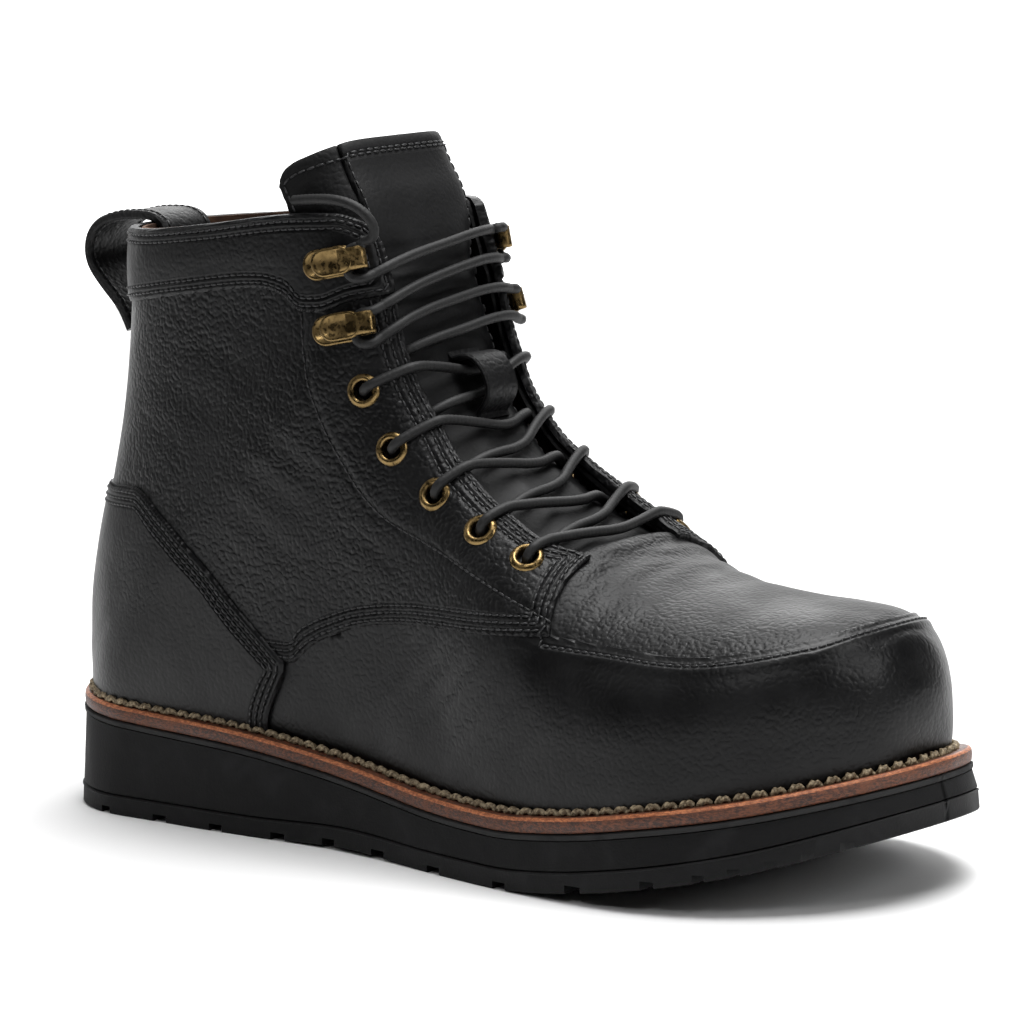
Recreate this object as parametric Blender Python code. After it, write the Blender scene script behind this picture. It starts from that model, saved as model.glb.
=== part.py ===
"""Wedge sole work boot, right foot, as an assembly of separate pieces.

Metres, +X to the toe, +Y to the inner (medial) side, +Z up, origin under the middle of the boot.
Lengths along the boot are first counted from the back of the outsole, then moved to the origin.
"""
import math

import bmesh
import bpy
import numpy as np
from mathutils import Matrix, Vector
from mathutils.bvhtree import BVHTree

# Driving sizes of the whole boot
LENGTH = 0.305          # outsole, back of the heel to the toe
BALL_WIDTH = 0.1136     # outsole at the ball
SHAFT_HEIGHT = 0.182    # floor to the collar at the front
HEEL_LIFT = 0.0349      # floor to the top of the welt at the heel
TOE_SPRING = 0.0205     # lift of the underside at the toe tip

# Layers of the bottom
TREAD = 0.0058          # thickness of the tread layer
MIDSOLE = 0.0018
WELT = 0.0042
WELT_RING = 0.0135      # width of the welt strip
WELT_MARGIN = 0.0039    # welt that shows outside the upper
HEEL_MARGIN = 0.0009    # the same behind the heel
FLARE = 0.0018          # how far the sides stand out from the welt down to the floor
GROOVE_PITCH = 0.0176   # grooves across the tread
GROOVE_WIDTH = 0.0055
GROOVE_DEPTH = 0.0021
GROOVE_START = 0.0108   # back of the heel to the middle of the first groove
INSOLE_RISE = 0.0022    # insole above the top of the welt

# Leather. The vamp wall's face is the reference surface, and the inner upper lies under it.
LINING = 0.0015         # wall of the hollow inner upper
VAMP = 0.0012
QUARTER = 0.0019
COUNTER = 0.0026
CUFF = 0.0027
TONGUE = 0.0026
STRAP = 0.0022          # pull loop and back strip
STRAP_WIDTH = 0.020
BACK_STRIP_WIDTH = 0.015
KEEPER = 0.0013
KEEPER_WIDTH = 0.013
GAP = 0.0003            # clearance between pieces that meet

# Small pieces
EYELET_RADIUS = 0.0049
EYELET_BORE = 0.0027
EYELET_WALL = 0.0004
EYELET_RISE = 0.0009
HOOK_LENGTH = 0.0158
HOOK_WIDTH = 0.0088
HOOK_HEIGHT = 0.0052
HOOK_PLATE = 0.0008
LACE = 0.0030           # diameter
LACE_RISE = 0.0016      # how far the lace arches over the edge of a facing
EYELET_TURN = 0.0022    # half the width of the lace's turn over an eyelet
HOOK_TURN = 0.0060      # the same round a hook

SECTION_POINTS = 20     # points around a section of the upper
STATIONS = 24           # cuts along the sole

# Plan of the outsole: half widths each side of the centre line and the sway of that line,
# as shares of BALL_WIDTH, at shares of LENGTH from the back of the heel
PLAN = (
    # along, outer, inner, sway
    (0.00, 0.380, 0.333, 0.013),
    (0.13, 0.380, 0.333, 0.013),
    (0.25, 0.385, 0.322, 0.013),
    (0.38, 0.380, 0.316, 0.013),
    (0.48, 0.408, 0.354, 0.013),
    (0.58, 0.463, 0.418, 0.015),
    (0.68, 0.508, 0.470, 0.019),
    (0.78, 0.523, 0.477, 0.024),
    (0.87, 0.517, 0.471, 0.037),
    (0.94, 0.498, 0.464, 0.048),
    (1.00, 0.490, 0.460, 0.053),
)
HEEL_ROUND = (0.13, 2.10)   # length of the heel's rounding as a share of LENGTH, and its fullness
TOE_ROUND = (0.22, 2.15)
HEEL_END = 0.30             # front end of the heel, share of LENGTH
TOE_TIP = 0.9802            # where the upper's plan closes in front

# Side view of the bottom: lift of the underside as a share of TOE_SPRING, and the whole
# thickness of the bottom as a share of HEEL_LIFT
SIDE = (
    # along, lift, thickness
    (0.00, 0.00, 1.000),
    (0.15, 0.00, 0.925),
    (0.30, 0.00, 0.850),
    (0.43, 0.05, 0.680),
    (0.54, 0.00, 0.605),
    (0.63, 0.00, 0.582),
    (0.70, 0.07, 0.588),
    (0.78, 0.24, 0.588),
    (0.90, 0.58, 0.560),
    (1.00, 1.00, 0.500),
)

# Sections of the upper. Each lies in a plane across the boot, from its foot on the bottom or the
# back to its top on the vamp or the front of the shaft. along: share of LENGTH; rise: share of
# SHAFT_HEIGHT; full: share of the plan's half width; waist: where it is widest, from foot to top;
# low and high: fullness of the two ends, 2 for an ellipse.
UPPER = (
    # foot along, foot rise, top along, top rise, full, waist, low, high
    (0.9790, 0.255, 0.9790, 0.312, 1.00, 0.50, 2.0, 2.0),
    (0.9675, 0.166, 0.9665, 0.372, 1.00, 0.48, 2.8, 2.1),
    (0.9545, 0.150, 0.9535, 0.394, 1.00, 0.46, 3.2, 2.3),
    (0.9350, 0.142, 0.9350, 0.412, 1.00, 0.45, 3.8, 2.5),
    (0.9080, 0.134, 0.9080, 0.421, 1.00, 0.44, 4.4, 2.6),
    (0.8700, 0.122, 0.8700, 0.424, 1.00, 0.42, 4.8, 2.6),
    (0.8200, 0.102, 0.8200, 0.428, 1.00, 0.40, 5.0, 2.5),
    (0.7540, 0.080, 0.7540, 0.443, 1.00, 0.39, 5.0, 2.4),
    (0.7000, 0.066, 0.7000, 0.470, 1.00, 0.38, 5.0, 2.5),
    (0.6500, 0.062, 0.6600, 0.503, 1.00, 0.38, 5.0, 2.8),
    (0.5700, 0.062, 0.6100, 0.545, 1.00, 0.38, 5.0, 3.4),
    (0.4800, 0.074, 0.5650, 0.592, 1.00, 0.40, 5.0, 4.0),
    (0.3850, 0.096, 0.5300, 0.642, 1.00, 0.42, 5.0, 4.3),
    (0.2950, 0.110, 0.5050, 0.690, 1.00, 0.43, 5.0, 4.4),
    (0.2100, 0.116, 0.4880, 0.734, 1.00, 0.45, 5.0, 4.4),
    (0.1380, 0.122, 0.4780, 0.772, 1.00, 0.47, 5.2, 4.4),
    (0.0780, 0.128, 0.4710, 0.804, 1.01, 0.48, 5.0, 4.4),
    (0.0350, 0.138, 0.4665, 0.834, 1.02, 0.48, 3.2, 4.4),
    (0.0155, 0.170, 0.4640, 0.858, 1.01, 0.48, 2.5, 4.4),
    (0.0105, 0.222, 0.4620, 0.878, 0.99, 0.48, 2.35, 4.4),
    (0.0115, 0.300, 0.4600, 0.900, 0.97, 0.48, 2.3, 4.4),
    (0.0230, 0.398, 0.4570, 0.922, 0.94, 0.48, 2.3, 4.4),
    (0.0420, 0.505, 0.4540, 0.943, 0.92, 0.48, 2.3, 4.4),
    (0.0640, 0.640, 0.4490, 0.966, 0.91, 0.48, 2.3, 4.4),
    (0.0800, 0.790, 0.4410, 0.996, 0.915, 0.48, 2.3, 4.4),
    (0.0890, 0.945, 0.4320, 1.030, 0.93, 0.48, 2.3, 4.3),
    (0.0920, 1.060, 0.4160, 1.080, 0.93, 0.48, 2.3, 4.0),
    (0.0920, 1.150, 0.3980, 1.170, 0.93, 0.48, 2.3, 3.6),
)


def curve(table, column, along):
    """Smooth curve through one column of a table whose first column is the share along the boot.

    It is level at the table's peaks, dips and level stretches, so it never overshoots them.
    """
    keys = [row[0] for row in table]
    values = [row[column] for row in table]
    slopes = []
    for i in range(len(keys)):
        a, b = max(i - 1, 0), min(i + 1, len(keys) - 1)
        level = 0 < i < len(keys) - 1 and (values[i] - values[a]) * (values[b] - values[i]) <= 0
        slopes.append(0.0 if level else (values[b] - values[a]) / (keys[b] - keys[a]))
    along = min(max(along, keys[0]), keys[-1])
    i = min(max(sum(key <= along for key in keys) - 1, 0), len(keys) - 2)
    step = keys[i + 1] - keys[i]
    t = (along - keys[i]) / step
    return ((2 * t ** 3 - 3 * t ** 2 + 1) * values[i] + (t ** 3 - 2 * t ** 2 + t) * step * slopes[i]
            + (3 * t ** 2 - 2 * t ** 3) * values[i + 1] + (t ** 3 - t ** 2) * step * slopes[i + 1])


def rounding(along):
    """Share of the half width that is left by the round heel and toe."""
    left = 1.0
    for distance, (reach, fullness) in ((along, HEEL_ROUND), (1.0 - along, TOE_ROUND)):
        if distance < reach:
            left *= max(1.0 - ((reach - max(distance, 0.0)) / reach) ** fullness, 0.0) ** (1 / fullness)
    return left


def place(along):
    """Distance from the origin of a length counted from the back of the heel."""
    return along * LENGTH - LENGTH / 2


def share(x):
    """The length counted from the back of the heel at x, as a share of LENGTH."""
    return (x - place(0.0)) / LENGTH


def sway(along):
    """Where the boot's centre line runs, across the boot."""
    return curve(PLAN, 3, along) * BALL_WIDTH


def plan_point(along, side, inset):
    """A point of the outsole's outline drawn in by inset; side is -1 for outer and 1 for inner."""
    half = curve(PLAN, 1 if side < 0 else 2, along) * BALL_WIDTH - inset
    x = place(0.0) + inset + along * (LENGTH - 2 * inset)
    return x, sway(along) + side * half * rounding(along)


def underside(along):
    return curve(SIDE, 1, along) * TOE_SPRING


def welt_top(along):
    return underside(along) + curve(SIDE, 2, along) * HEEL_LIFT


def margin(along):
    """How far the upper stands in from the edge of the welt: least behind the heel."""
    part = min(max(along / HEEL_END, 0.0), 1.0)
    return HEEL_MARGIN + (WELT_MARGIN - HEEL_MARGIN) * part * part * (3 - 2 * part)


def add_object(name, bm, material=None, collection=None):
    """An object of the boot from a bmesh, or a cutter when it gets no material."""
    mesh = bpy.data.meshes.new(name)
    bmesh.ops.recalc_face_normals(bm, faces=bm.faces)
    bmesh.ops.triangulate(bm, faces=bm.faces)
    bm.to_mesh(mesh)
    bm.free()
    piece = bpy.data.objects.new(name, mesh)
    (collection or BOOT).objects.link(piece)
    if material:
        mesh.materials.append(material)
        mesh.shade_smooth()
        mesh.set_sharp_from_angle(angle=math.radians(35))
    else:
        piece.hide_render = True
        piece.display_type = 'WIRE'
    return piece


def boolean(piece, cutter, operation='DIFFERENCE'):
    step = piece.modifiers.new(operation.title() + ' ' + cutter.name, 'BOOLEAN')
    step.operation = operation
    step.object = cutter


def material(name, colour, roughness, metallic=0.0):
    made = bpy.data.materials.new(name)
    made.use_nodes = True
    surface = made.node_tree.nodes['Principled BSDF']
    surface.inputs['Base Color'].default_value = (*colour, 1.0)
    surface.inputs['Roughness'].default_value = roughness
    surface.inputs['Metallic'].default_value = metallic
    return made


def section_half(foot_along, side, full):
    """Half width of a section of the upper that stands at foot_along."""
    reach = min(max(foot_along, HEEL_ROUND[0]), 1.0)
    half = curve(PLAN, 1 if side < 0 else 2, reach) * BALL_WIDTH - FLARE - margin(reach)
    reach, fullness = TOE_ROUND
    distance = TOE_TIP - foot_along
    if distance < reach:
        half *= max(1.0 - ((reach - distance) / reach) ** fullness, 0.0) ** (1 / fullness)
    return half * full


def section(row, points):
    """Closed ring of points of one section, from its foot up the outer side and down the inner."""
    foot_along, foot_rise, top_along, top_rise, full, waist, low, high = row
    foot = np.array((place(foot_along), foot_rise * SHAFT_HEIGHT))
    top = np.array((place(top_along), top_rise * SHAFT_HEIGHT))
    ring = []
    for i in range(points):
        turn = 2 * math.pi * i / points - math.pi / 2
        sine, cosine = math.sin(turn), math.cos(turn)
        fullness = high if sine > 0 else low
        reach = 1 - waist if sine > 0 else waist
        height = waist + math.copysign(reach * abs(sine) ** (2 / fullness), sine)
        side = -1 if cosine > 0 else 1
        out = section_half(foot_along, side, full) * abs(cosine) ** (2 / fullness)
        x, z = foot + (top - foot) * height
        ring.append((x, sway(foot_along) + side * out, z))
    return ring


def form_grid(offset, points=SECTION_POINTS):
    """Points of the upper's surface, section by section, moved out by offset."""
    grid = np.array([section(row, points) for row in UPPER])
    along = np.gradient(grid, axis=0)
    around = (np.roll(grid, -1, axis=1) - np.roll(grid, 1, axis=1)) / 2
    normal = np.cross(along, around)
    normal /= np.linalg.norm(normal, axis=2, keepdims=True)
    centre = grid.mean(axis=1, keepdims=True)
    if ((grid - centre) * normal).sum() < 0:
        normal = -normal
    return grid + offset * normal


def loft(grid):
    """Closed body through rings of points, with a fan at each end."""
    bm = bmesh.new()
    rings = [[bm.verts.new(point) for point in ring] for ring in grid]
    for ring, following in zip(rings, rings[1:]):
        for i in range(len(ring)):
            j = (i + 1) % len(ring)
            bm.faces.new((ring[i], ring[j], following[j], following[i]))
    for ring in (rings[0], rings[-1]):
        middle = bm.verts.new(sum((vert.co for vert in ring), Vector()) / len(ring))
        for i in range(len(ring)):
            bm.faces.new((ring[i], ring[(i + 1) % len(ring)], middle))
    return bm


def square_tube(rings):
    """Closed body through rings of four points, flat at both ends."""
    bm = bmesh.new()
    rings = [[bm.verts.new(point) for point in ring] for ring in rings]
    for ring, following in zip(rings, rings[1:]):
        for i in range(4):
            j = (i + 1) % 4
            bm.faces.new((ring[i], ring[j], following[j], following[i]))
    bm.faces.new(rings[0])
    bm.faces.new(rings[-1])
    return bm


def side_prism(name, outline, reach=BALL_WIDTH):
    """Cutter through the boot from outline, (x, z) points in side view."""
    bm = bmesh.new()
    ends = [[bm.verts.new((x, y, z)) for x, z in outline] for y in (-reach, reach)]
    for end in ends:
        bm.faces.new(end)
    for i in range(len(outline)):
        j = (i + 1) % len(outline)
        bm.faces.new((ends[0][i], ends[0][j], ends[1][j], ends[1][i]))
    return add_object(name, bm, collection=CUTTERS)


def stations(count=STATIONS):
    """Shares along the boot, close together at the round ends."""
    return [0.5 - 0.5 * math.cos(math.pi * i / count) for i in range(count + 1)]


def sole_layer(name, finish, low, high, low_inset=0.0, high_inset=0.0, collection=None):
    """Plate with the outsole's outline between two heights that follow the boot."""
    bm = bmesh.new()
    rows = []
    for along in stations():
        row = []
        for side, level, inset in ((-1, low, low_inset), (1, low, low_inset),
                                   (1, high, high_inset), (-1, high, high_inset)):
            x, y = plan_point(along, side, inset)
            row.append(bm.verts.new((x, y, level(share(x)))))
        rows.append(row)
    for row, following in zip(rows, rows[1:]):
        for i in range(4):
            j = (i + 1) % 4
            bm.faces.new((row[i], row[j], following[j], following[i]))
    bm.faces.new(rows[0])
    bm.faces.new(rows[-1])
    bmesh.ops.remove_doubles(bm, verts=bm.verts, dist=1e-6)
    return add_object(name, bm, finish, collection)


def sole_ring(name, finish, low, high, outside, inside):
    """Strip of one thickness that runs round the outsole's outline between two insets."""
    bm = bmesh.new()
    rings = []
    path = [(along, -1) for along in stations()] + [(along, 1) for along in stations()[-2:0:-1]]
    for along, side in path:
        ring = []
        for inset, level in ((outside, low), (outside, high), (inside, high), (inside, low)):
            x, y = plan_point(along, side, inset)
            ring.append(bm.verts.new((x, y, level(share(x)))))
        rings.append(ring)
    for ring, following in zip(rings, rings[1:] + rings[:1]):
        for i in range(4):
            j = (i + 1) % 4
            bm.faces.new((ring[i], ring[j], following[j], following[i]))
    return add_object(name, bm, finish)


def clear_scene():
    for thing in list(bpy.data.objects):
        bpy.data.objects.remove(thing, do_unlink=True)


clear_scene()
BOOT = bpy.data.collections.new('wedge_sole_work_boot')
CUTTERS = bpy.data.collections.new('cutters')
for group in (BOOT, CUTTERS):
    bpy.context.scene.collection.children.link(group)

LEATHER = material('black_leather', (0.012, 0.012, 0.013), 0.42)
LINING_LEATHER = material('brown_lining_leather', (0.10, 0.05, 0.025), 0.7)
RUBBER = material('black_rubber', (0.015, 0.015, 0.015), 0.75)
WELT_LEATHER = material('brown_welt_leather', (0.22, 0.06, 0.025), 0.5)


# Panels in side view: (share of LENGTH, share of SHAFT_HEIGHT)
COLLAR = ((0.00, 0.944), (0.15, 0.948), (0.30, 0.978), (0.395, 0.989), (0.425, 0.978),
          (0.443, 0.950), (0.455, 0.905), (0.475, 0.895))
RIDGE = ((0.60, 0.388), (0.69, 0.386), (0.755, 0.377), (0.82, 0.372), (0.87, 0.380), (0.92, 0.398),
         (0.945, 0.412), (1.02, 0.430))
QUARTER_LOW = ((0.352, 0.285), (0.372, 0.312), (0.395, 0.332), (0.44, 0.356), (0.51, 0.370),
               (0.60, 0.376), (0.685, 0.384))
QUARTER_FRONT = ((0.679, 0.420), (0.672, 0.480), (0.668, 0.560))
COUNTER_TOP = ((-0.05, 0.515), (0.128, 0.530), (0.225, 0.445), (0.345, 0.300), (0.345, 0.270),
               (0.312, 0.180), (0.305, 0.10))
CUFF_LOW = ((-0.05, 0.815), (0.084, 0.828), (0.224, 0.860), (0.325, 0.877), (0.350, 0.868),
            (0.370, 0.845), (0.392, 0.843), (0.43, 0.862), (0.50, 0.880))
# Throat from the vamp to the collar: section of the upper, half width as a share of BALL_WIDTH.
# The quarters part from the first row on, the upper under them from THROAT_START.
THROAT = ((7, 0.128), (8, 0.130), (9, 0.135), (10, 0.150), (11, 0.162), (12, 0.172), (13, 0.180),
          (14, 0.186), (15, 0.190), (16, 0.193), (17, 0.195), (18, 0.197), (19, 0.199), (20, 0.201),
          (21, 0.203), (22, 0.205), (23, 0.208), (24, 0.211), (25, 0.213), (26, 0.215), (27, 0.217))
THROAT_START = 9
THROAT_DEPTH = 0.020
# Eyelets and hooks of one side, from the top: share of LENGTH, share of SHAFT_HEIGHT
HOOKS = ((0.409, 0.922), (0.421, 0.820))
EYELETS = ((0.435, 0.720), (0.471, 0.636), (0.521, 0.569), (0.575, 0.523), (0.630, 0.482))
# Tongue: section of the upper and how far round it the tongue reaches, in degrees from the front
TONGUE_REACH = ((8, 38), (9, 42), (10, 44), (11, 46), (12, 48), (13, 50), (14, 52), (15, 54), (16, 57),
                (17, 60), (18, 63), (19, 66), (20, 69), (21, 72), (22, 75), (23, 78), (24, 81),
                (25, 83), (26, 84), (27, 84))
TONGUE_TOP = ((0.20, 1.000), (0.27, 1.030), (0.31, 1.070), (0.36, 1.098), (0.41, 1.108), (0.50, 1.105))
# Pull loop in side view, as shares of LENGTH and SHAFT_HEIGHT, from the back strip over the collar
LOOP = ((0.0590, 0.775), (0.0480, 0.812), (0.0230, 0.850), (0.0050, 0.885), (0.0060, 0.925),
        (0.0220, 0.952), (0.0460, 0.963), (0.0740, 0.967), (0.1000, 0.965), (0.1150, 0.946),
        (0.1180, 0.890))
# Lace keeper, a strap sewn to the tongue at both ends: along the tongue and up from it, in metres
KEEPER_LINE = ((-0.0102, 0.0), (-0.0080, 0.0), (-0.0077, 0.0032), (-0.0054, 0.0056), (0.0, 0.0064),
               (0.0054, 0.0056), (0.0077, 0.0032), (0.0080, 0.0), (0.0102, 0.0))
KEEPER_SECTION = 13.75      # place on the tongue, as a section of the upper
# Section of the upper where each crossing of the lace meets the front line, from the bottom up
LACE_FRONT = (9.2, 9.6, 10.1, 10.6, 11.2, 11.7, 12.3, 13.4, 14.1, 16.0, 17.7, 19.8, 21.8)
# Each crossing's points from an eyelet or hook to the front line: how far along, and whether it is
# still over the facing or already down on the tongue
LACE_STEPS = ((0.22, True), (0.45, True), (0.70, True), (0.90, False), (1.00, False))
# Loose end of the lace from the top outer hook over the collar: (x, y, z) from the back of the heel
LACE_END = ((0.1348, -0.0312, 0.1741), (0.1366, -0.0305, 0.1741), (0.1383, -0.0301, 0.1752),
            (0.1389, -0.0303, 0.1777), (0.1379, -0.0312, 0.1806), (0.1355, -0.0323, 0.1831),
            (0.1320, -0.0332, 0.1848), (0.1275, -0.0337, 0.1856), (0.1225, -0.0338, 0.1857),
            (0.1170, -0.0335, 0.1854), (0.1115, -0.0334, 0.1849))


def side_points(outline):
    return [(place(along), rise * SHAFT_HEIGHT) for along, rise in outline]


def groove_cutter():
    """Bars across the underside, one for each groove of the tread."""
    bm = bmesh.new()
    for number in range(int((LENGTH - GROOVE_START) / GROOVE_PITCH) + 1):
        length = GROOVE_START + number * GROOVE_PITCH
        top = underside(length / LENGTH) + GROOVE_DEPTH
        middle = Vector((place(length / LENGTH), 0, top - TREAD))
        size = Vector((GROOVE_WIDTH, 2 * BALL_WIDTH, 2 * TREAD))
        bmesh.ops.create_cube(bm, size=1.0, matrix=Matrix.LocRotScale(middle, None, size))
    return add_object('grooves', bm, collection=CUTTERS)


def build_bottom():
    def tread_top(along):
        return underside(along) + TREAD

    def midsole_low(along):
        return welt_top(along) - WELT - GAP - MIDSOLE

    parting = FLARE / 4
    tread = sole_layer('outsole_tread', RUBBER, underside, tread_top, 0.0, parting)
    boolean(tread, groove_cutter())
    sole_layer('wedge', RUBBER, lambda a: tread_top(a) + GAP, lambda a: midsole_low(a) - GAP, parting, FLARE)
    sole_layer('midsole', RUBBER, midsole_low, lambda a: midsole_low(a) + MIDSOLE, FLARE, FLARE)
    ring = FLARE + WELT_RING
    sole_ring('welt', WELT_LEATHER, lambda a: welt_top(a) - WELT, welt_top, FLARE, ring)
    sole_layer('insole', LINING_LEATHER, lambda a: welt_top(a) - WELT,
               lambda a: welt_top(a) + INSOLE_RISE, ring + GAP, ring + GAP)


def under_cutter():
    """Everything below the top of the welt, where the upper is open."""
    line = [(place(along), welt_top(along) + GAP) for along in stations()]
    low = -0.02
    return side_prism('below_the_welt', [(place(-0.1), low), (place(-0.1), line[0][1])] + line
                      + [(place(1.1), line[-1][1]), (place(1.1), low)])


def collar_cutter():
    high = 2 * SHAFT_HEIGHT
    return side_prism('above_the_collar', [(place(-0.1), high), (place(-0.1), COLLAR[0][1] * SHAFT_HEIGHT)]
                      + side_points(COLLAR) + [(place(COLLAR[-1][0]), high)])


def throat_cutter(name, first):
    """Body along the front of the shaft, as wide as the opening between the two facings."""
    rings = []
    for number, half in THROAT:
        if number < first:
            continue
        foot_along, foot_rise, top_along, top_rise = UPPER[number][:4]
        foot = Vector((place(foot_along), sway(foot_along), foot_rise * SHAFT_HEIGHT))
        top = Vector((place(top_along), sway(foot_along), top_rise * SHAFT_HEIGHT))
        out = (top - foot).normalized()
        side = Vector((0, half * BALL_WIDTH, 0))
        low, high = top - THROAT_DEPTH * out, top + THROAT_DEPTH * out
        rings.append((low - side, low + side, high + side, high - side))
    return add_object(name, square_tube(rings), collection=CUTTERS)


def panel(name, thickness, region, core, openings):
    """Overlay of one thickness over a region of the upper, cut between two of its forms."""
    made = add_object(name, loft(form_grid(thickness - VAMP)), LEATHER)
    boolean(made, region, 'INTERSECT')
    for opening in openings:
        boolean(made, opening)
    boolean(made, core)
    return made


def build_upper():
    base = -VAMP - GAP
    under, collar = under_cutter(), collar_cutter()
    upper = add_object('upper', loft(form_grid(base)), LEATHER)
    for opening in (under, collar, throat_cutter('throat', THROAT_START)):
        boolean(upper, opening)
    boolean(upper, add_object('upper_hollow', loft(form_grid(base - LINING)), collection=CUTTERS))
    openings = under, collar, throat_cutter('between_the_quarters', 0)
    core = add_object('under_the_panels', loft(form_grid(-VAMP)), collection=CUTTERS)
    high, low = 2 * SHAFT_HEIGHT, -0.05
    lower_edge = side_points(QUARTER_LOW)
    ridge = side_points(RIDGE)
    behind = side_points(COUNTER_TOP)
    cuff_edge = side_points(CUFF_LOW)
    counter_side = side_prism('counter_side', behind + [(behind[-1][0], low), (behind[0][0], low)])
    cuff_side = side_prism('cuff_side', cuff_edge + [(cuff_edge[-1][0], high), (cuff_edge[0][0], high)])
    seam = [(x + GAP, z) for x, z in behind[:-4:-1]]
    wall_side = side_prism('wall_side', seam + [(x, z - GAP) for x, z in lower_edge] + ridge[1:]
                           + [(ridge[-1][0], low), (seam[0][0], low)])
    front = side_points(QUARTER_FRONT)
    quarter_side = side_prism('quarter_side', lower_edge + front + [(front[-1][0], high)]
                              + [(x, z - GAP) for x, z in cuff_edge[::-1]] + [(x, z + GAP) for x, z in behind[:-3]])
    panel('counter', COUNTER, counter_side, core, openings)
    panel('collar_band', CUFF, cuff_side, core, openings)
    panel('vamp_wall', VAMP, wall_side, core, openings)
    panel('quarters', QUARTER, quarter_side, core, openings)


def patch_body(outer, inner):
    """Closed sheet between two grids of points of the same size."""
    bm = bmesh.new()
    faces = []
    for grid in (outer, inner):
        faces.append([[bm.verts.new(point) for point in row] for row in grid])
    for grid in faces:
        for row, following in zip(grid, grid[1:]):
            for i in range(len(row) - 1):
                bm.faces.new((row[i], row[i + 1], following[i + 1], following[i]))
    rims = []
    for grid in faces:
        left = [row[0] for row in grid]
        right = [row[-1] for row in grid]
        rims.append(grid[0] + right[1:] + grid[-1][-2::-1] + left[-2:0:-1])
    for i in range(len(rims[0])):
        j = (i + 1) % len(rims[0])
        bm.faces.new((rims[0][i], rims[0][j], rims[1][j], rims[1][i]))
    return bm


def round_from_front(ring, degrees):
    """Point on a section's flat facets, so many degrees round from the front of the boot."""
    spot = (0.5 + degrees / 360) * len(ring)
    number = int(spot)
    part = spot - number
    return (1 - part) * ring[number % len(ring)] + part * ring[(number + 1) % len(ring)]


def on_grid(grid, number, degrees):
    """Point of a form at a section number, whole or between two sections, and round from the front."""
    whole = min(int(number), len(grid) - 2)
    part = number - whole
    low, high = (round_from_front(grid[whole + step], degrees) for step in (0, 1))
    return Vector((1 - part) * low + part * high)


def build_tongue():
    top = -VAMP - GAP - LINING - GAP
    columns = 7
    grids = []
    for offset in (top, top - TONGUE):
        rings = form_grid(offset)
        grids.append([[round_from_front(rings[number], reach * (2 * i / (columns - 1) - 1))
                       for i in range(columns)] for number, reach in TONGUE_REACH])
    tongue = add_object('tongue', patch_body(*grids), LEATHER)
    line = side_points(TONGUE_TOP)
    high = 2 * SHAFT_HEIGHT
    boolean(tongue, side_prism('above_the_tongue', line + [(line[-1][0], high), (line[0][0], high)]))
    form = form_grid(top)
    middle = on_grid(form, KEEPER_SECTION, 0)
    along = (on_grid(form, KEEPER_SECTION + 1, 0) - on_grid(form, KEEPER_SECTION - 1, 0)).normalized()
    out = Vector((along.z, 0, -along.x))
    near = [on_grid(form, KEEPER_SECTION + step, 0) for step in (-1, -0.5, 0, 0.5, 1)]
    base = middle + out * (max((spot - middle).dot(out) for spot in near) + GAP + KEEPER / 2)
    line = [base + along * step + out * rise for step, rise in KEEPER_LINE]
    add_object('lace_keeper', strap_body(line, KEEPER, KEEPER_WIDTH), LEATHER)


def strap_body(points, thickness, width):
    """Flat strap of one width across the boot, along a line of points."""
    rings = []
    for i, point in enumerate(points):
        before, after = points[max(i - 1, 0)], points[min(i + 1, len(points) - 1)]
        along = (after - before).normalized()
        out = Vector((-along.z, 0, along.x)) * thickness / 2
        side = Vector((0, width / 2, 0))
        rings.append((point - out - side, point - out + side, point + out + side, point + out - side))
    return square_tube(rings)


def build_pull_loop():
    middle = sway(0.0)
    line = [Vector((x, middle, z)) for x, z in side_points(LOOP)]
    add_object('pull_loop', strap_body(line, STRAP, STRAP_WIDTH), LEATHER)
    low = COUNTER_TOP[1][1] * SHAFT_HEIGHT + GAP
    high = LOOP[0][1] * SHAFT_HEIGHT - GAP
    strip = add_object('back_strip', loft(form_grid(QUARTER - VAMP + GAP + STRAP / 2)), LEATHER)
    bm = bmesh.new()
    back = Vector((place(0.0), middle, (low + high) / 2))
    size = Vector((2 * HEEL_ROUND[0] * LENGTH, BACK_STRIP_WIDTH, high - low))
    bmesh.ops.create_cube(bm, size=1.0, matrix=Matrix.LocRotScale(back, None, size))
    boolean(strip, add_object('back_strip_side', bm, collection=CUTTERS), 'INTERSECT')
    boolean(strip, add_object('under_the_strip', loft(form_grid(QUARTER - VAMP + GAP)), collection=CUTTERS))


def surface_tree(offset):
    bm = loft(form_grid(offset))
    bmesh.ops.recalc_face_normals(bm, faces=bm.faces)
    tree = BVHTree.FromBMesh(bm)
    bm.free()
    return tree


def seat(tree, spot, side, radius):
    """Place on the upper for a flat piece: its axes forward, across and out, and its middle."""
    along, rise = spot
    x, z = place(along), rise * SHAFT_HEIGHT
    inward = Vector((0, -side, 0))
    hits = []
    for dx, dz in ((0, 0), (radius, 0), (-radius, 0), (0, radius), (0, -radius)):
        hits.append(tree.ray_cast(Vector((x + dx, side * BALL_WIDTH, z + dz)), inward)[0])
    out = (hits[1] - hits[2]).cross(hits[3] - hits[4]).normalized()
    if out.y * side < 0:
        out = -out
    forward = (hits[1] - hits[2]).normalized()
    across = out.cross(forward)
    lift = 0.0
    for i in range(12):
        turn = math.pi * i / 6
        rim = hits[0] + radius * (math.cos(turn) * forward + math.sin(turn) * across)
        hit = tree.ray_cast(rim + out * radius, -out)[0]
        lift = max(lift, (hit - hits[0]).dot(out))
    middle = hits[0] + out * (lift + GAP)
    return Matrix((forward, across, out)).transposed().to_4x4(), middle


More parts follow.
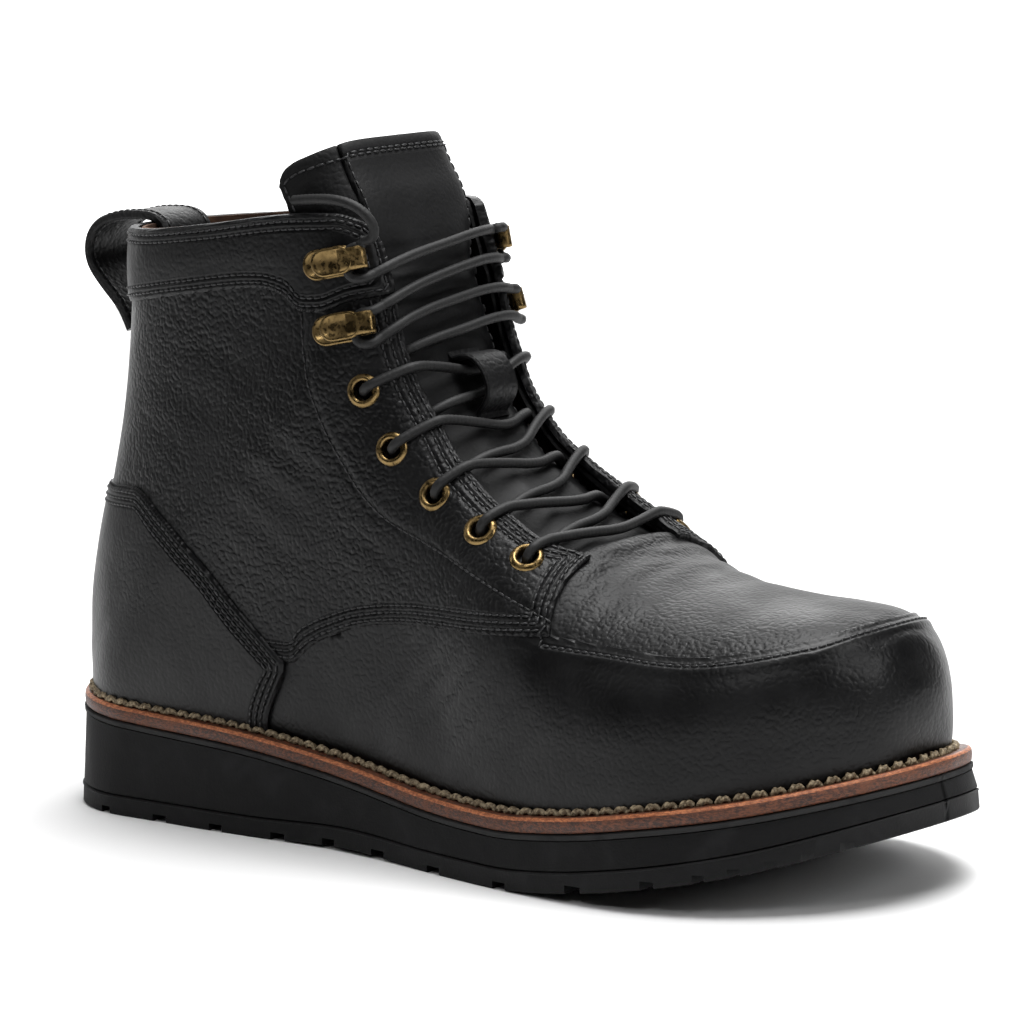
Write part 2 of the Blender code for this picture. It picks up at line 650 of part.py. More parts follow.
def eyelet_body():
    """Flange and barrel, turned about Z, the flange's underside at 0."""
    bore, wall, radius, rise = EYELET_BORE, EYELET_WALL, EYELET_RADIUS, EYELET_RISE
    barrel = -(QUARTER + GAP + LINING)
    profile = ((bore, barrel), (bore, rise * 0.6), (bore + 0.0007, rise), (radius - 0.0007, rise * 0.75),
               (radius, 0.0), (bore + wall, 0.0), (bore + wall, barrel))
    steps = 8
    bm = bmesh.new()
    rings = []
    for i in range(steps):
        turn = 2 * math.pi * i / steps
        rings.append([bm.verts.new((r * math.cos(turn), r * math.sin(turn), z)) for r, z in profile])
    for i in range(steps):
        ring, following = rings[i], rings[(i + 1) % steps]
        for j in range(len(profile)):
            k = (j + 1) % len(profile)
            bm.faces.new((ring[j], following[j], following[k], ring[k]))
    return bm


def hook_body():
    """Folded plate: base, bend and top plate, with round ends, its underside at 0."""
    half, plate, height = HOOK_LENGTH / 2, HOOK_PLATE, HOOK_HEIGHT
    middle = height / 2
    bend = half - middle
    back = EYELET_TURN - half
    outline = [(-half, 0.0), (bend, 0.0)]
    turns = [math.radians(degrees) for degrees in (-50, -20, 20, 50)]
    outline += [(bend + middle * math.cos(t), middle + middle * math.sin(t)) for t in turns]
    outline += [(bend, height), (back, height), (back, height - plate), (bend, height - plate)]
    inner = middle - plate
    outline += [(bend + inner * math.cos(t), middle + inner * math.sin(t)) for t in turns[::-1]]
    outline += [(bend, plate), (-half, plate)]
    bm = bmesh.new()
    ends = [[bm.verts.new((x, y, z)) for x, z in outline] for y in (-HOOK_WIDTH, HOOK_WIDTH)]
    for end in ends:
        bm.faces.new(end)
    for i in range(len(outline)):
        j = (i + 1) % len(outline)
        bm.faces.new((ends[0][i], ends[0][j], ends[1][j], ends[1][i]))
    return bm


def stadium(length, width, low, high, steps=3):
    """Prism with straight sides and round ends along X."""
    bm = bmesh.new()
    outline = []
    radius = width / 2
    for end in (1, -1):
        for i in range(steps + 1):
            turn = math.pi * (i / steps - 0.5)
            outline.append((end * (length / 2 - radius + radius * math.cos(turn)), end * radius * math.sin(turn)))
    rings = [[bm.verts.new((x, y, z)) for x, y in outline] for z in (low, high)]
    for ring in rings:
        bm.faces.new(ring)
    for i in range(len(outline)):
        j = (i + 1) % len(outline)
        bm.faces.new((rings[0][i], rings[0][j], rings[1][j], rings[1][i]))
    return bm


def build_hardware():
    quarter = surface_tree(QUARTER - VAMP)
    cuff = surface_tree(CUFF - VAMP)
    brass = material('antique_brass', (0.30, 0.20, 0.08), 0.35, 1.0)
    holes = bmesh.new()
    seats = {}
    for side, label in ((-1, 'outer'), (1, 'inner')):
        for number, spot in enumerate(EYELETS, 1):
            turn, middle = seat(quarter, spot, side, EYELET_RADIUS)
            eyelet = add_object(f'eyelet_{label}_{number}', eyelet_body(), brass)
            eyelet.matrix_world = Matrix.Translation(middle) @ turn
            reach = EYELET_BORE + EYELET_WALL + GAP
            bmesh.ops.create_cone(holes, cap_ends=True, segments=8, radius1=reach, radius2=reach,
                                  depth=THROAT_DEPTH, matrix=Matrix.Translation(middle) @ turn)
            seats['eyelet', side, number] = (middle, turn)
        for number, spot in enumerate(HOOKS, 1):
            turn, middle = seat(cuff if number == 1 else quarter, spot, side, HOOK_WIDTH / 2)
            hook = add_object(f'hook_{label}_{number}', hook_body(), brass)
            trim = add_object(f'hook_trim_{label}_{number}',
                              stadium(HOOK_LENGTH, HOOK_WIDTH, -HOOK_HEIGHT, 2 * HOOK_HEIGHT), collection=CUTTERS)
            for thing in (hook, trim):
                thing.matrix_world = Matrix.Translation(middle) @ turn
            boolean(hook, trim, 'INTERSECT')
            seats['hook', side, number] = (middle, turn)
    cutter = add_object('eyelet_holes', holes, collection=CUTTERS)
    for name in ('upper', 'quarters'):
        boolean(bpy.data.objects[name], cutter)
    return seats


def tube(name, points, finish):
    """Round cord of the lace's diameter along a line of points."""
    line = bpy.data.curves.new(name, 'CURVE')
    line.dimensions = '3D'
    line.bevel_depth = LACE / 2
    line.bevel_resolution = 1
    line.use_fill_caps = True
    spline = line.splines.new('POLY')
    spline.points.add(len(points) - 1)
    for spot, point in zip(spline.points, points):
        spot.co = (*point, 1.0)
    line.materials.append(finish)
    BOOT.objects.link(bpy.data.objects.new(name, line))


def turn_points(kind, side, place_on_upper):
    """Where the lace turns over an eyelet or through a hook, from its lower leg to its upper one."""
    middle, turn = place_on_upper
    if kind == 'hook':
        bend = (HOOK_LENGTH - HOOK_HEIGHT) / 2 - GAP
        front = HOOK_LENGTH / 2 + LACE / 2
        height = HOOK_HEIGHT / 2
        flat = ((front, -HOOK_TURN), (bend, -HOOK_TURN), (bend, HOOK_TURN), (front, HOOK_TURN))
    else:
        height = EYELET_RISE + GAP + LACE / 2 + LACE_RISE
        flat = ((0.0, -EYELET_TURN), (-1.2 * EYELET_TURN, 0.0), (0.0, EYELET_TURN))
    return [middle + turn.to_3x3() @ Vector((forward, -side * up, height)) for forward, up in flat]


def locate(grid, point):
    """Section number and degrees from the front of the place on a form that is nearest to a point."""
    side = 1 if point.y > 0 else -1
    places = [(number / 4, side * degrees) for number in range(4 * THROAT_START - 4, 4 * len(grid) - 4)
              for degrees in range(0, 90, 2)]
    return min(places, key=lambda spot: (on_grid(grid, *spot) - point).length)


def build_lace(seats):
    """Zigzag from the lowest inner eyelet to the top outer hook, as one cord, and its loose end."""
    finish = material('black_waxed_cord', (0.02, 0.02, 0.02), 0.6)
    order = [('eyelet', side, number) for number in range(len(EYELETS), 0, -1) for side in (1, -1)]
    order += [('hook', side, number) for number in range(len(HOOKS), 0, -1) for side in (1, -1)]
    turns = [turn_points(kind, side, seats[kind, side, number]) for kind, side, number in order]
    on_tongue = form_grid(LACE / 2 + GAP - VAMP - LINING)
    route = turns[0][1:]
    for number, (before, after) in enumerate(zip(turns, turns[1:])):
        edge = CUFF if order[number + 1][0] == 'hook' else QUARTER
        over_edge = form_grid(edge - VAMP + GAP + LACE / 2 + LACE_RISE)
        middle = LACE_FRONT[number], 0
        start, end = locate(over_edge, before[-1]), locate(over_edge, after[0])
        for ends, steps in (((start, middle), LACE_STEPS), ((end, middle), LACE_STEPS[-2::-1])):
            for step, raised in steps:
                section_number, degrees = (a + step * (b - a) for a, b in zip(*ends))
                route.append(on_grid(over_edge if raised else on_tongue, section_number, degrees))
        route += after
    tube('lace', route, finish)
    tube('lace_end', [Vector((x + place(0.0), y, z)) for x, y, z in LACE_END], finish)


def main():
    build_bottom()
    build_upper()
    build_tongue()
    build_pull_loop()
    build_lace(build_hardware())


main()
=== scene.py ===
"""Finish and soft shapes of a wedge sole work boot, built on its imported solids."""
import math

import bmesh
import bpy
import numpy as np
from mathutils import Matrix, Vector


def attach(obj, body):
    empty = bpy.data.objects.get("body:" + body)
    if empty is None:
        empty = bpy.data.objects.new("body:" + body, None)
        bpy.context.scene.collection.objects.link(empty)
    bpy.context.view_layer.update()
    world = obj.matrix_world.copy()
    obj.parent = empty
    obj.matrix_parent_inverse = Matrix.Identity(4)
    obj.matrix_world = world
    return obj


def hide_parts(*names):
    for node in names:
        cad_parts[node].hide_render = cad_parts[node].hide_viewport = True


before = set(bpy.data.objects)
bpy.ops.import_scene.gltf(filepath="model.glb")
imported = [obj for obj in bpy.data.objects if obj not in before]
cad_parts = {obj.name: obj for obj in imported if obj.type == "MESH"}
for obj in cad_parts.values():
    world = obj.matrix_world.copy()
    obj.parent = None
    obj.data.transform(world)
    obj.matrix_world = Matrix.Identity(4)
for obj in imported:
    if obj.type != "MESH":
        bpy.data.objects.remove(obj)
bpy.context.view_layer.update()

bl_info = {
    "name": "Wedge sole work boot",
    "version": (1, 0, 0),
    "blender": (4, 5, 0),
    "location": "View3D > Sidebar > Boot",
    "description": "Leather, stitching, welt, lace and brass of a moc toe work boot",
    "category": "Object",
}

MM = 0.001

# The boot's own sizes, the same as its solids have
LENGTH = 0.305
BALL_WIDTH = 0.1136
SHAFT_HEIGHT = 0.182
HEEL_LIFT = 0.0349
TOE_SPRING = 0.0205
TREAD = 0.0058
MIDSOLE = 0.0018
WELT = 0.0042
WELT_RING = 0.0135
WELT_MARGIN = 0.0039
HEEL_MARGIN = 0.0009
FLARE = 0.0018
GROOVE_DEPTH = 0.0021
# Notches across the tread: middle from the back of the heel, and width
GROOVES = ((0.0320, 0.0040), (0.0552, 0.0055), (0.0784, 0.0050), (0.1028, 0.0055), (0.1228, 0.0050),
           (0.1440, 0.0055), (0.1691, 0.0055), (0.1972, 0.0050), (0.2254, 0.0055), (0.2500, 0.0040),
           (0.2640, 0.0030), (0.2725, 0.0030), (0.2805, 0.0028), (0.2880, 0.0026), (0.2950, 0.0024))
INSOLE_RISE = 0.0022
VAMP = 0.0012
QUARTER = 0.0019
COUNTER = 0.0026
CUFF = 0.0027
STRAP = 0.0022
STRAP_WIDTH = 0.020
BACK_STRIP_WIDTH = 0.015
GAP = 0.0003
EYELET_RADIUS = 0.0049
EYELET_BORE = 0.0027
HOOK_LENGTH = 0.0158
HOOK_WIDTH = 0.0088
HOOK_HEIGHT = 0.0048
HOOK_BACK = -0.0094         # back end of a hook's base from its middle
HOOK_BASE = 0.0165          # lengths of the base and of the top plate
HOOK_TOP = 0.0130
HOOK_SET_BACK = 0.0043      # how far the top plate starts in front of the base
LACE = 0.0030

# Density of the upper's surface: steps from one section to the next, and steps up each side
ROW_STEPS = 12
SIDE_STEPS = 150
CAP_ROWS = 6
SECTION_STEP = 15 * MM      # about how far one section of the upper is from the next
INSIDE_END = 50 * MM        # distance that stands for far from any edge

# Panels: how far one lies over the next, their backs, the holes for the eyelets, and the rows of
# stitches on each in millimetres from its edge
OVERLAP = 4 * MM
PANEL_BACK = -1.2 * MM
HOLE_RADIUS = 3.2 * MM
SEAM_ROWS = {'wall': (3.4,), 'quarter': (1.6, 3.6, 5.6), 'counter': (2.0, 4.0, 6.0), 'cuff': (1.8, 4.0),
             'tongue': (2.6,)}
WELT_STITCH = 4.95 * MM
LACE_GAP = 0.4 * MM         # from the lace to the start of its loose end
CREASE_SHARE = 0.4          # how much of the creases' depths shows

# Leathers: finish, material, worn colour, depth of pebbles and of folds in millimetres, roughness
LEATHERS = (
    ('wall', 'vamp_leather', '#0f0f10', 0.06, 0.14, 0.31),
    ('quarter', 'quarter_leather', '#111112', 0.16, 0.30, 0.34),
    ('counter', 'counter_leather', '#0f0f10', 0.05, 0.14, 0.33),
    ('cuff', 'collar_leather', '#101011', 0.06, 0.18, 0.33),
    ('apron', 'apron_leather', '#141415', 0.13, 0.15, 0.38),
    ('tongue', 'tongue_leather', '#0c0c0d', 0.04, 0.25, 0.52),
    ('strap', 'strap_leather', '#101011', 0.10, 0.15, 0.40),
)

# Where the photograph was taken from, in degrees and metres
VIEW_TURN, VIEW_RISE, VIEW_ROLL = 40.45, 8.63, -1.87
VIEW_DISTANCE = 1.332
VIEW_LENS = 4673 / 1024 * 36
VIEW_TARGET = Vector((0.0066, 0.0014, 0.0944))

# Studio: half width of the floor, glow from behind and above, and the lamps with their place,
# width and height, and watts
FLOOR_HALF = 1.15
GLOW_BEHIND = (0.55, 0.93, 0.02, 2.0)
GLOW_OVER = (0.55, 1.0, 0.0, 0.5)
LAMP_TARGET = Vector((0.0, 0.0, 0.08))
LAMPS = (
    ('top', (0.15, 0.3, 1.8), (1.6, 1.0), 46.0),
    ('back', (-0.7, 1.3, 0.9), (1.3, 0.5), 7.0),
    ('right', (1.6, 0.25, 0.9), (0.35, 0.8), 6.0),
    ('front', (0.6, -1.3, 1.5), (0.35, 0.25), 3.5),
    ('left', (-1.4, -0.6, 0.8), (0.2, 0.9), 2.0),
)

# Outline of the sole: outer and inner half width and sway, as shares of BALL_WIDTH
PLAN = (
    # along, outer, inner, sway
    (0.00, 0.380, 0.333, 0.013),
    (0.13, 0.380, 0.333, 0.013),
    (0.25, 0.385, 0.322, 0.013),
    (0.38, 0.380, 0.316, 0.013),
    (0.48, 0.408, 0.354, 0.013),
    (0.58, 0.463, 0.418, 0.015),
    (0.68, 0.508, 0.470, 0.019),
    (0.78, 0.523, 0.477, 0.024),
    (0.87, 0.517, 0.471, 0.037),
    (0.94, 0.498, 0.464, 0.048),
    (1.00, 0.490, 0.460, 0.053),
)
HEEL_ROUND = (0.13, 2.10)
TOE_ROUND = (0.22, 2.15)
HEEL_END = 0.30
TOE_TIP = 0.9802

# Side view of the bottom: lift as a share of TOE_SPRING, thickness as a share of HEEL_LIFT
SIDE = (
    # along, lift, thickness
    (0.00, 0.00, 1.000),
    (0.15, 0.00, 0.925),
    (0.30, 0.00, 0.850),
    (0.43, 0.05, 0.680),
    (0.54, 0.00, 0.605),
    (0.63, 0.00, 0.582),
    (0.70, 0.07, 0.588),
    (0.78, 0.24, 0.588),
    (0.90, 0.58, 0.560),
    (1.00, 1.00, 0.500),
)

# Sections of the upper, each in a plane from its foot to its top
UPPER = (
    # foot along, foot rise, top along, top rise, full, waist, low, high
    (0.9790, 0.255, 0.9790, 0.312, 1.00, 0.50, 2.0, 2.0),
    (0.9675, 0.166, 0.9665, 0.372, 1.00, 0.48, 2.8, 2.1),
    (0.9545, 0.150, 0.9535, 0.394, 1.00, 0.46, 3.2, 2.3),
    (0.9350, 0.142, 0.9350, 0.412, 1.00, 0.45, 3.8, 2.5),
    (0.9080, 0.134, 0.9080, 0.421, 1.00, 0.44, 4.4, 2.6),
    (0.8700, 0.122, 0.8700, 0.424, 1.00, 0.42, 4.8, 2.6),
    (0.8200, 0.102, 0.8200, 0.428, 1.00, 0.40, 5.0, 2.5),
    (0.7540, 0.080, 0.7540, 0.443, 1.00, 0.39, 5.0, 2.4),
    (0.7000, 0.066, 0.7000, 0.470, 1.00, 0.38, 5.0, 2.5),
    (0.6500, 0.062, 0.6600, 0.503, 1.00, 0.38, 5.0, 2.8),
    (0.5700, 0.062, 0.6100, 0.545, 1.00, 0.38, 5.0, 3.4),
    (0.4800, 0.074, 0.5650, 0.592, 1.00, 0.40, 5.0, 4.0),
    (0.3850, 0.096, 0.5300, 0.642, 1.00, 0.42, 5.0, 4.3),
    (0.2950, 0.110, 0.5050, 0.690, 1.00, 0.43, 5.0, 4.4),
    (0.2100, 0.116, 0.4880, 0.734, 1.00, 0.45, 5.0, 4.4),
    (0.1380, 0.122, 0.4780, 0.772, 1.00, 0.47, 5.2, 4.4),
    (0.0780, 0.128, 0.4710, 0.804, 1.01, 0.48, 5.0, 4.4),
    (0.0350, 0.138, 0.4665, 0.834, 1.02, 0.48, 3.2, 4.4),
    (0.0155, 0.170, 0.4640, 0.858, 1.01, 0.48, 2.5, 4.4),
    (0.0105, 0.222, 0.4620, 0.878, 0.99, 0.48, 2.35, 4.4),
    (0.0115, 0.300, 0.4600, 0.900, 0.97, 0.48, 2.3, 4.4),
    (0.0230, 0.398, 0.4570, 0.922, 0.94, 0.48, 2.3, 4.4),
    (0.0420, 0.505, 0.4540, 0.943, 0.92, 0.48, 2.3, 4.4),
    (0.0640, 0.640, 0.4490, 0.966, 0.91, 0.48, 2.3, 4.4),
    (0.0800, 0.790, 0.4410, 0.996, 0.915, 0.48, 2.3, 4.4),
    (0.0890, 0.945, 0.4320, 1.030, 0.93, 0.48, 2.3, 4.3),
    (0.0920, 1.060, 0.4160, 1.080, 0.93, 0.48, 2.3, 4.0),
    (0.0920, 1.150, 0.3980, 1.170, 0.93, 0.48, 2.3, 3.6),
)

# Edges of the panels in side view: share of LENGTH, share of SHAFT_HEIGHT
COLLAR = ((-0.05, 0.950), (0.15, 0.958), (0.25, 0.973), (0.35, 0.993), (0.405, 0.996), (0.428, 0.982),
          (0.440, 0.955), (0.452, 0.905), (0.475, 0.860))
CUFF_LOW = ((-0.05, 0.815), (0.084, 0.828), (0.224, 0.860), (0.325, 0.877), (0.350, 0.868),
            (0.370, 0.845), (0.392, 0.843), (0.43, 0.862), (0.50, 0.880))
RIDGE = ((0.352, 0.320), (0.395, 0.355), (0.44, 0.378), (0.51, 0.392), (0.60, 0.397), (0.655, 0.395),
         (0.69, 0.386), (0.755, 0.377), (0.82, 0.372), (0.87, 0.380), (0.92, 0.398), (0.945, 0.412),
         (1.02, 0.430))
QUARTER_LOW = ((0.352, 0.285), (0.372, 0.312), (0.395, 0.332), (0.44, 0.356), (0.51, 0.370),
               (0.60, 0.376), (0.685, 0.384))
COUNTER_TOP = ((-0.05, 0.520), (0.10, 0.536), (0.145, 0.540), (0.190, 0.500), (0.2416, 0.4377),
               (0.2873, 0.3638), (0.3327, 0.2982), (0.370, 0.240))
# Edges that run up and down: share of SHAFT_HEIGHT, share of LENGTH
QUARTER_FRONT = ((0.380, 0.686), (0.420, 0.679), (0.480, 0.672), (0.560, 0.668), (0.600, 0.666))
COUNTER_FRONT = ((0.10, 0.305), (0.180, 0.312), (0.260, 0.338), (0.300, 0.352), (0.340, 0.420))
# Section of the upper where the throat starts
THROAT_START = 9
# Edges of the two facings, which don't lie quite evenly: section of the upper, share of BALL_WIDTH
NEAR_FACING = ((7, 0.135), (8.3, 0.150), (8.9, 0.197), (9.4, 0.236), (10.3, 0.238), (11.5, 0.224),
               (13, 0.208), (15.5, 0.212), (20, 0.212), (27, 0.215))
FAR_FACING = ((7, 0.095), (8.3, 0.150), (9.4, 0.160), (10.8, 0.165), (12.5, 0.174), (14.2, 0.186),
              (18, 0.200), (27, 0.217))
# Sewn line at the back of the eyestay: share of SHAFT_HEIGHT, share of LENGTH
EYESTAY = ((0.39, 0.700), (0.4178, 0.6581), (0.4794, 0.5563), (0.5288, 0.4731), (0.6084, 0.4246),
           (0.716, 0.3894), (0.8216, 0.3738), (0.90, 0.3730))
# Eyelets and hooks of one side, from the top: share of LENGTH, share of SHAFT_HEIGHT
HOOKS = ((0.409, 0.922), (0.421, 0.820))
EYELETS = ((0.4435, 0.7246), (0.4749, 0.6363), (0.5236, 0.5705), (0.5811, 0.5227), (0.6335, 0.4859))
HOOK_TILT = 10.0            # degrees by which the hooks' fronts point up
# Tongue: how far it reaches round from the front line by section, and where it ends at the top,
# both in millimetres along the leather; the seams between its middle and its side panels
TONGUE_REACH = ((8, 34), (9, 36), (10, 37), (14, 38), (20, 48), (27, 54))
TONGUE_END = ((0, 26.40), (20, 26.38), (30, 26.27), (38, 26.12), (45, 25.95), (50, 25.72), (54, 25.3))
TONGUE_SEAM = 26.0
# Pull loop in side view, from the back strip over the collar
LOOP = ((0.0590, 0.775), (0.0480, 0.812), (0.0230, 0.850), (0.0050, 0.885), (0.0060, 0.925),
        (0.0220, 0.952), (0.0460, 0.963), (0.0740, 0.967), (0.1000, 0.965), (0.1150, 0.946),
        (0.1180, 0.890))
# Lace keeper along the tongue and up from it, in millimetres
KEEPER_LINE = ((-11.0, 0.0), (-8.6, 0.1), (-7.8, 4.0), (-5.4, 7.6), (0.0, 8.8), (5.4, 7.6), (7.8, 4.0),
               (8.6, 0.1), (11.0, 0.0))
KEEPER_SECTION = 13.75
KEEPER_WIDTH = 0.013
# Section of the upper where each crossing of the lace meets the front line, from the bottom up
LACE_FRONT = (9.2, 9.6, 10.1, 10.6, 11.2, 11.7, 12.3, 13.4, 14.1, 16.0, 17.7, 19.8, 21.8)
# Loose end of the lace from the top outer hook over the collar, from the back of the heel
LACE_END = ((0.1348, -0.0312, 0.1741), (0.1366, -0.0305, 0.1741), (0.1383, -0.0301, 0.1752),
            (0.1389, -0.0303, 0.1777), (0.1379, -0.0312, 0.1806), (0.1355, -0.0323, 0.1831),
            (0.1320, -0.0332, 0.1848), (0.1275, -0.0337, 0.1856), (0.1225, -0.0338, 0.1857),
            (0.1170, -0.0335, 0.1854), (0.1115, -0.0334, 0.1849))


def curve(table, column, along):
    """Smooth curve through one column of a table, level at the table's peaks and dips."""
    keys = np.array([row[0] for row in table], float)
    values = np.array([row[column] for row in table], float)
    order = np.arange(len(keys))
    before, after = np.maximum(order - 1, 0), np.minimum(order + 1, len(keys) - 1)
    slopes = (values[after] - values[before]) / (keys[after] - keys[before])
    level = (values[1:-1] - values[:-2]) * (values[2:] - values[1:-1]) <= 0
    slopes[1:-1] = np.where(level, 0.0, slopes[1:-1])
    along = np.clip(along, keys[0], keys[-1])
    i = np.clip(np.searchsorted(keys, along, 'right') - 1, 0, len(keys) - 2)
    step = keys[i + 1] - keys[i]
    t = (along - keys[i]) / step
    return ((2 * t ** 3 - 3 * t ** 2 + 1) * values[i] + (t ** 3 - 2 * t ** 2 + t) * step * slopes[i]
            + (3 * t ** 2 - 2 * t ** 3) * values[i + 1] + (t ** 3 - t ** 2) * step * slopes[i + 1])


def place(along):
    """X of a share of the length."""
    return along * LENGTH - LENGTH / 2


def share(x):
    """Share of the length at X."""
    return (x + LENGTH / 2) / LENGTH


def sway(along):
    """Y of the sole's middle line."""
    return curve(PLAN, 3, along) * BALL_WIDTH


def rounding(along):
    """Share of the half width that is left by the round heel and toe."""
    left = np.ones_like(np.asarray(along, float))
    for distance, (reach, fullness) in ((along, HEEL_ROUND), (1.0 - along, TOE_ROUND)):
        part = np.clip((reach - np.maximum(distance, 0.0)) / reach, 0.0, 1.0)
        left = left * np.maximum(1.0 - part ** fullness, 0.0) ** (1 / fullness)
    return left


def plan_point(along, side, inset):
    """X and Y of the sole's outline, moved in by inset."""
    half = curve(PLAN, 1 if side < 0 else 2, along) * BALL_WIDTH - inset
    return (place(0.0) + inset + along * (LENGTH - 2 * inset),
            sway(along) + side * half * rounding(along))


def underside(along):
    """Height of the sole's underside."""
    return curve(SIDE, 1, along) * TOE_SPRING


def welt_top(along):
    """Height of the welt's upper face."""
    return underside(along) + curve(SIDE, 2, along) * HEEL_LIFT


def margin(along):
    """Width of the welt outside the upper."""
    part = np.clip(along / HEEL_END, 0.0, 1.0)
    return HEEL_MARGIN + (WELT_MARGIN - HEEL_MARGIN) * part * part * (3 - 2 * part)


# The upper's surface as one dense grid

def build_form():
    """Points and outward normals of the reference surface, and each row's section number."""
    table = [(i, *row) for i, row in enumerate(UPPER)]
    number = np.linspace(0, len(UPPER) - 1, (len(UPPER) - 1) * ROW_STEPS + 1)
    foot_along, foot_rise, top_along, top_rise, full, waist, low, high = (
        curve(table, column, number) for column in range(1, 9))
    reach = np.clip(foot_along, HEEL_ROUND[0], 1.0)
    near_tip = np.clip((TOE_ROUND[0] - (TOE_TIP - foot_along)) / TOE_ROUND[0], 0.0, 1.0)
    tip = np.maximum(1.0 - near_tip ** TOE_ROUND[1], 0.0) ** (1 / TOE_ROUND[1])
    turn = np.linspace(-math.pi / 2, math.pi / 2, 241)
    cosine, sine = np.abs(np.cos(turn)), np.sin(turn)
    sides = []
    for side in (-1, 1):
        half = (curve(PLAN, 1 if side < 0 else 2, reach) * BALL_WIDTH - FLARE - margin(reach)) * tip * full
        fullness = np.where(sine[None] > 0, high[:, None], low[:, None])
        radius = (cosine[None] ** fullness + np.abs(sine[None]) ** fullness) ** (-1 / fullness)
        across, up = radius * cosine, radius * sine
        height = waist[:, None] + np.where(up > 0, 1 - waist[:, None], waist[:, None]) * up
        x = place(foot_along)[:, None] + ((top_along - foot_along) * LENGTH)[:, None] * height
        z = (foot_rise * SHAFT_HEIGHT)[:, None] + ((top_rise - foot_rise) * SHAFT_HEIGHT)[:, None] * height
        y = sway(foot_along)[:, None] + side * half[:, None] * across
        ring = np.stack((x, y, z), axis=2)
        steps = np.linalg.norm(np.diff(ring, axis=1), axis=2)
        length = np.concatenate((np.zeros((len(number), 1)), np.cumsum(steps, axis=1)), axis=1)
        even = np.empty((len(number), SIDE_STEPS + 1, 3))
        for i in range(len(number)):
            spots = np.linspace(0, length[i, -1], SIDE_STEPS + 1)
            for axis in range(3):
                even[i, :, axis] = np.interp(spots, length[i], ring[i, :, axis])
        sides.append(even)
    grid = np.concatenate((sides[0], sides[1][:, -2:0:-1]), axis=1)
    middle = grid[0].mean(axis=0)
    cap = [middle + (grid[0] - middle) * t + np.array(((1 - t * t) * 0.5 * MM, 0, 0))
           for t in np.linspace(0.002, 1.0, CAP_ROWS, endpoint=False)]
    grid = np.concatenate((np.array(cap), grid))
    number = np.concatenate((np.zeros(len(cap)), number))
    around = (np.roll(grid, -1, axis=1) - np.roll(grid, 1, axis=1)) / 2
    normal = np.cross(np.gradient(grid, axis=0), around)
    normal /= np.maximum(np.linalg.norm(normal, axis=2, keepdims=True), 1e-12)
    if ((grid - grid.mean(axis=1, keepdims=True)) * normal).sum() < 0:
        normal = -normal
    edge = normal[CAP_ROWS + 1]
    for i in range(CAP_ROWS + 1):
        part = i / (CAP_ROWS + 1)
        normal[i] = edge * part + np.array((1 - part, 0.0, 0.0))
        normal[i] /= np.linalg.norm(normal[i], axis=1, keepdims=True)
    return grid, normal, number


FORM, NORMAL, NUMBER = build_form()
ROWS, COLUMNS = FORM.shape[:2]
FRONT = SIDE_STEPS
X, Y, Z = FORM[..., 0], FORM[..., 1], FORM[..., 2]
ALONG, RISE = share(X), Z / SHAFT_HEIGHT
FOOT_ALONG = curve([(i, row[0]) for i, row in enumerate(UPPER)], 1, NUMBER)


def grid_slopes(values):
    """Change of the values from row to row and from column to column."""
    return np.gradient(values, axis=0), (np.roll(values, -1, axis=1) - np.roll(values, 1, axis=1)) / 2


def on_surface(field):
    """The field as a distance along the leather: its value over its slope on the surface."""
    down, around = grid_slopes(FORM)
    a, b, c = (down * down).sum(2), (down * around).sum(2), (around * around).sum(2)
    fi, fj = grid_slopes(field)
    slope = (c * fi * fi - 2 * b * fi * fj + a * fj * fj) / np.maximum(a * c - b * b, 1e-16)
    return field / np.clip(np.sqrt(np.maximum(slope, 0.0)), 0.25, 4.0)


def above(line):
    """Distance above an edge of the tables."""
    return on_surface((RISE - curve(line, 1, ALONG)) * SHAFT_HEIGHT)


def ahead(line):
    """Distance towards the toe from an edge of the tables."""
    return on_surface((ALONG - curve(line, 1, RISE)) * LENGTH)


def arc_lengths():
    """How far each point is from the front line along its section: outer side negative."""
    steps = np.linalg.norm(np.roll(FORM, -1, axis=1) - FORM, axis=2)
    per_step = np.stack((steps[:, :FRONT].sum(axis=1), steps[:, FRONT:].sum(axis=1))) / SIDE_STEPS
    column = np.arange(COLUMNS)[None] - FRONT
    return np.where(column < 0, column * per_step[0][:, None], column * per_step[1][:, None]), per_step


ARC, PER_STEP = arc_lengths()
ABOVE_COLLAR, ABOVE_CUFF, ABOVE_RIDGE = above(COLLAR), above(CUFF_LOW), above(RIDGE)
ABOVE_QUARTER, ABOVE_COUNTER = above(QUARTER_LOW), above(COUNTER_TOP)
AHEAD_QUARTER, AHEAD_COUNTER = ahead(QUARTER_FRONT), ahead(COUNTER_FRONT)
ABOVE_WELT = on_surface(Z - welt_top(ALONG) - GAP)
CENTRE = sway(FOOT_ALONG)[:, None]
TOP_SIDE = np.abs(np.arange(COLUMNS) - FRONT)[None] < SIDE_STEPS * 0.62
BEFORE_THROAT = (THROAT_START - NUMBER)[:, None] * SECTION_STEP
NEAR_HALF, FAR_HALF = (curve(table, 1, NUMBER)[:, None] for table in (NEAR_FACING, FAR_FACING))
FACING_HALF = np.where(ARC < 0, NEAR_HALF, FAR_HALF) * BALL_WIDTH
BESIDE_FACING = np.where(TOP_SIDE, np.abs(Y - CENTRE) - FACING_HALF, INSIDE_END)
BEHIND_EYESTAY = ahead(EYESTAY)
INSIDE_COUNTER = np.minimum(-ABOVE_COUNTER, -AHEAD_COUNTER)


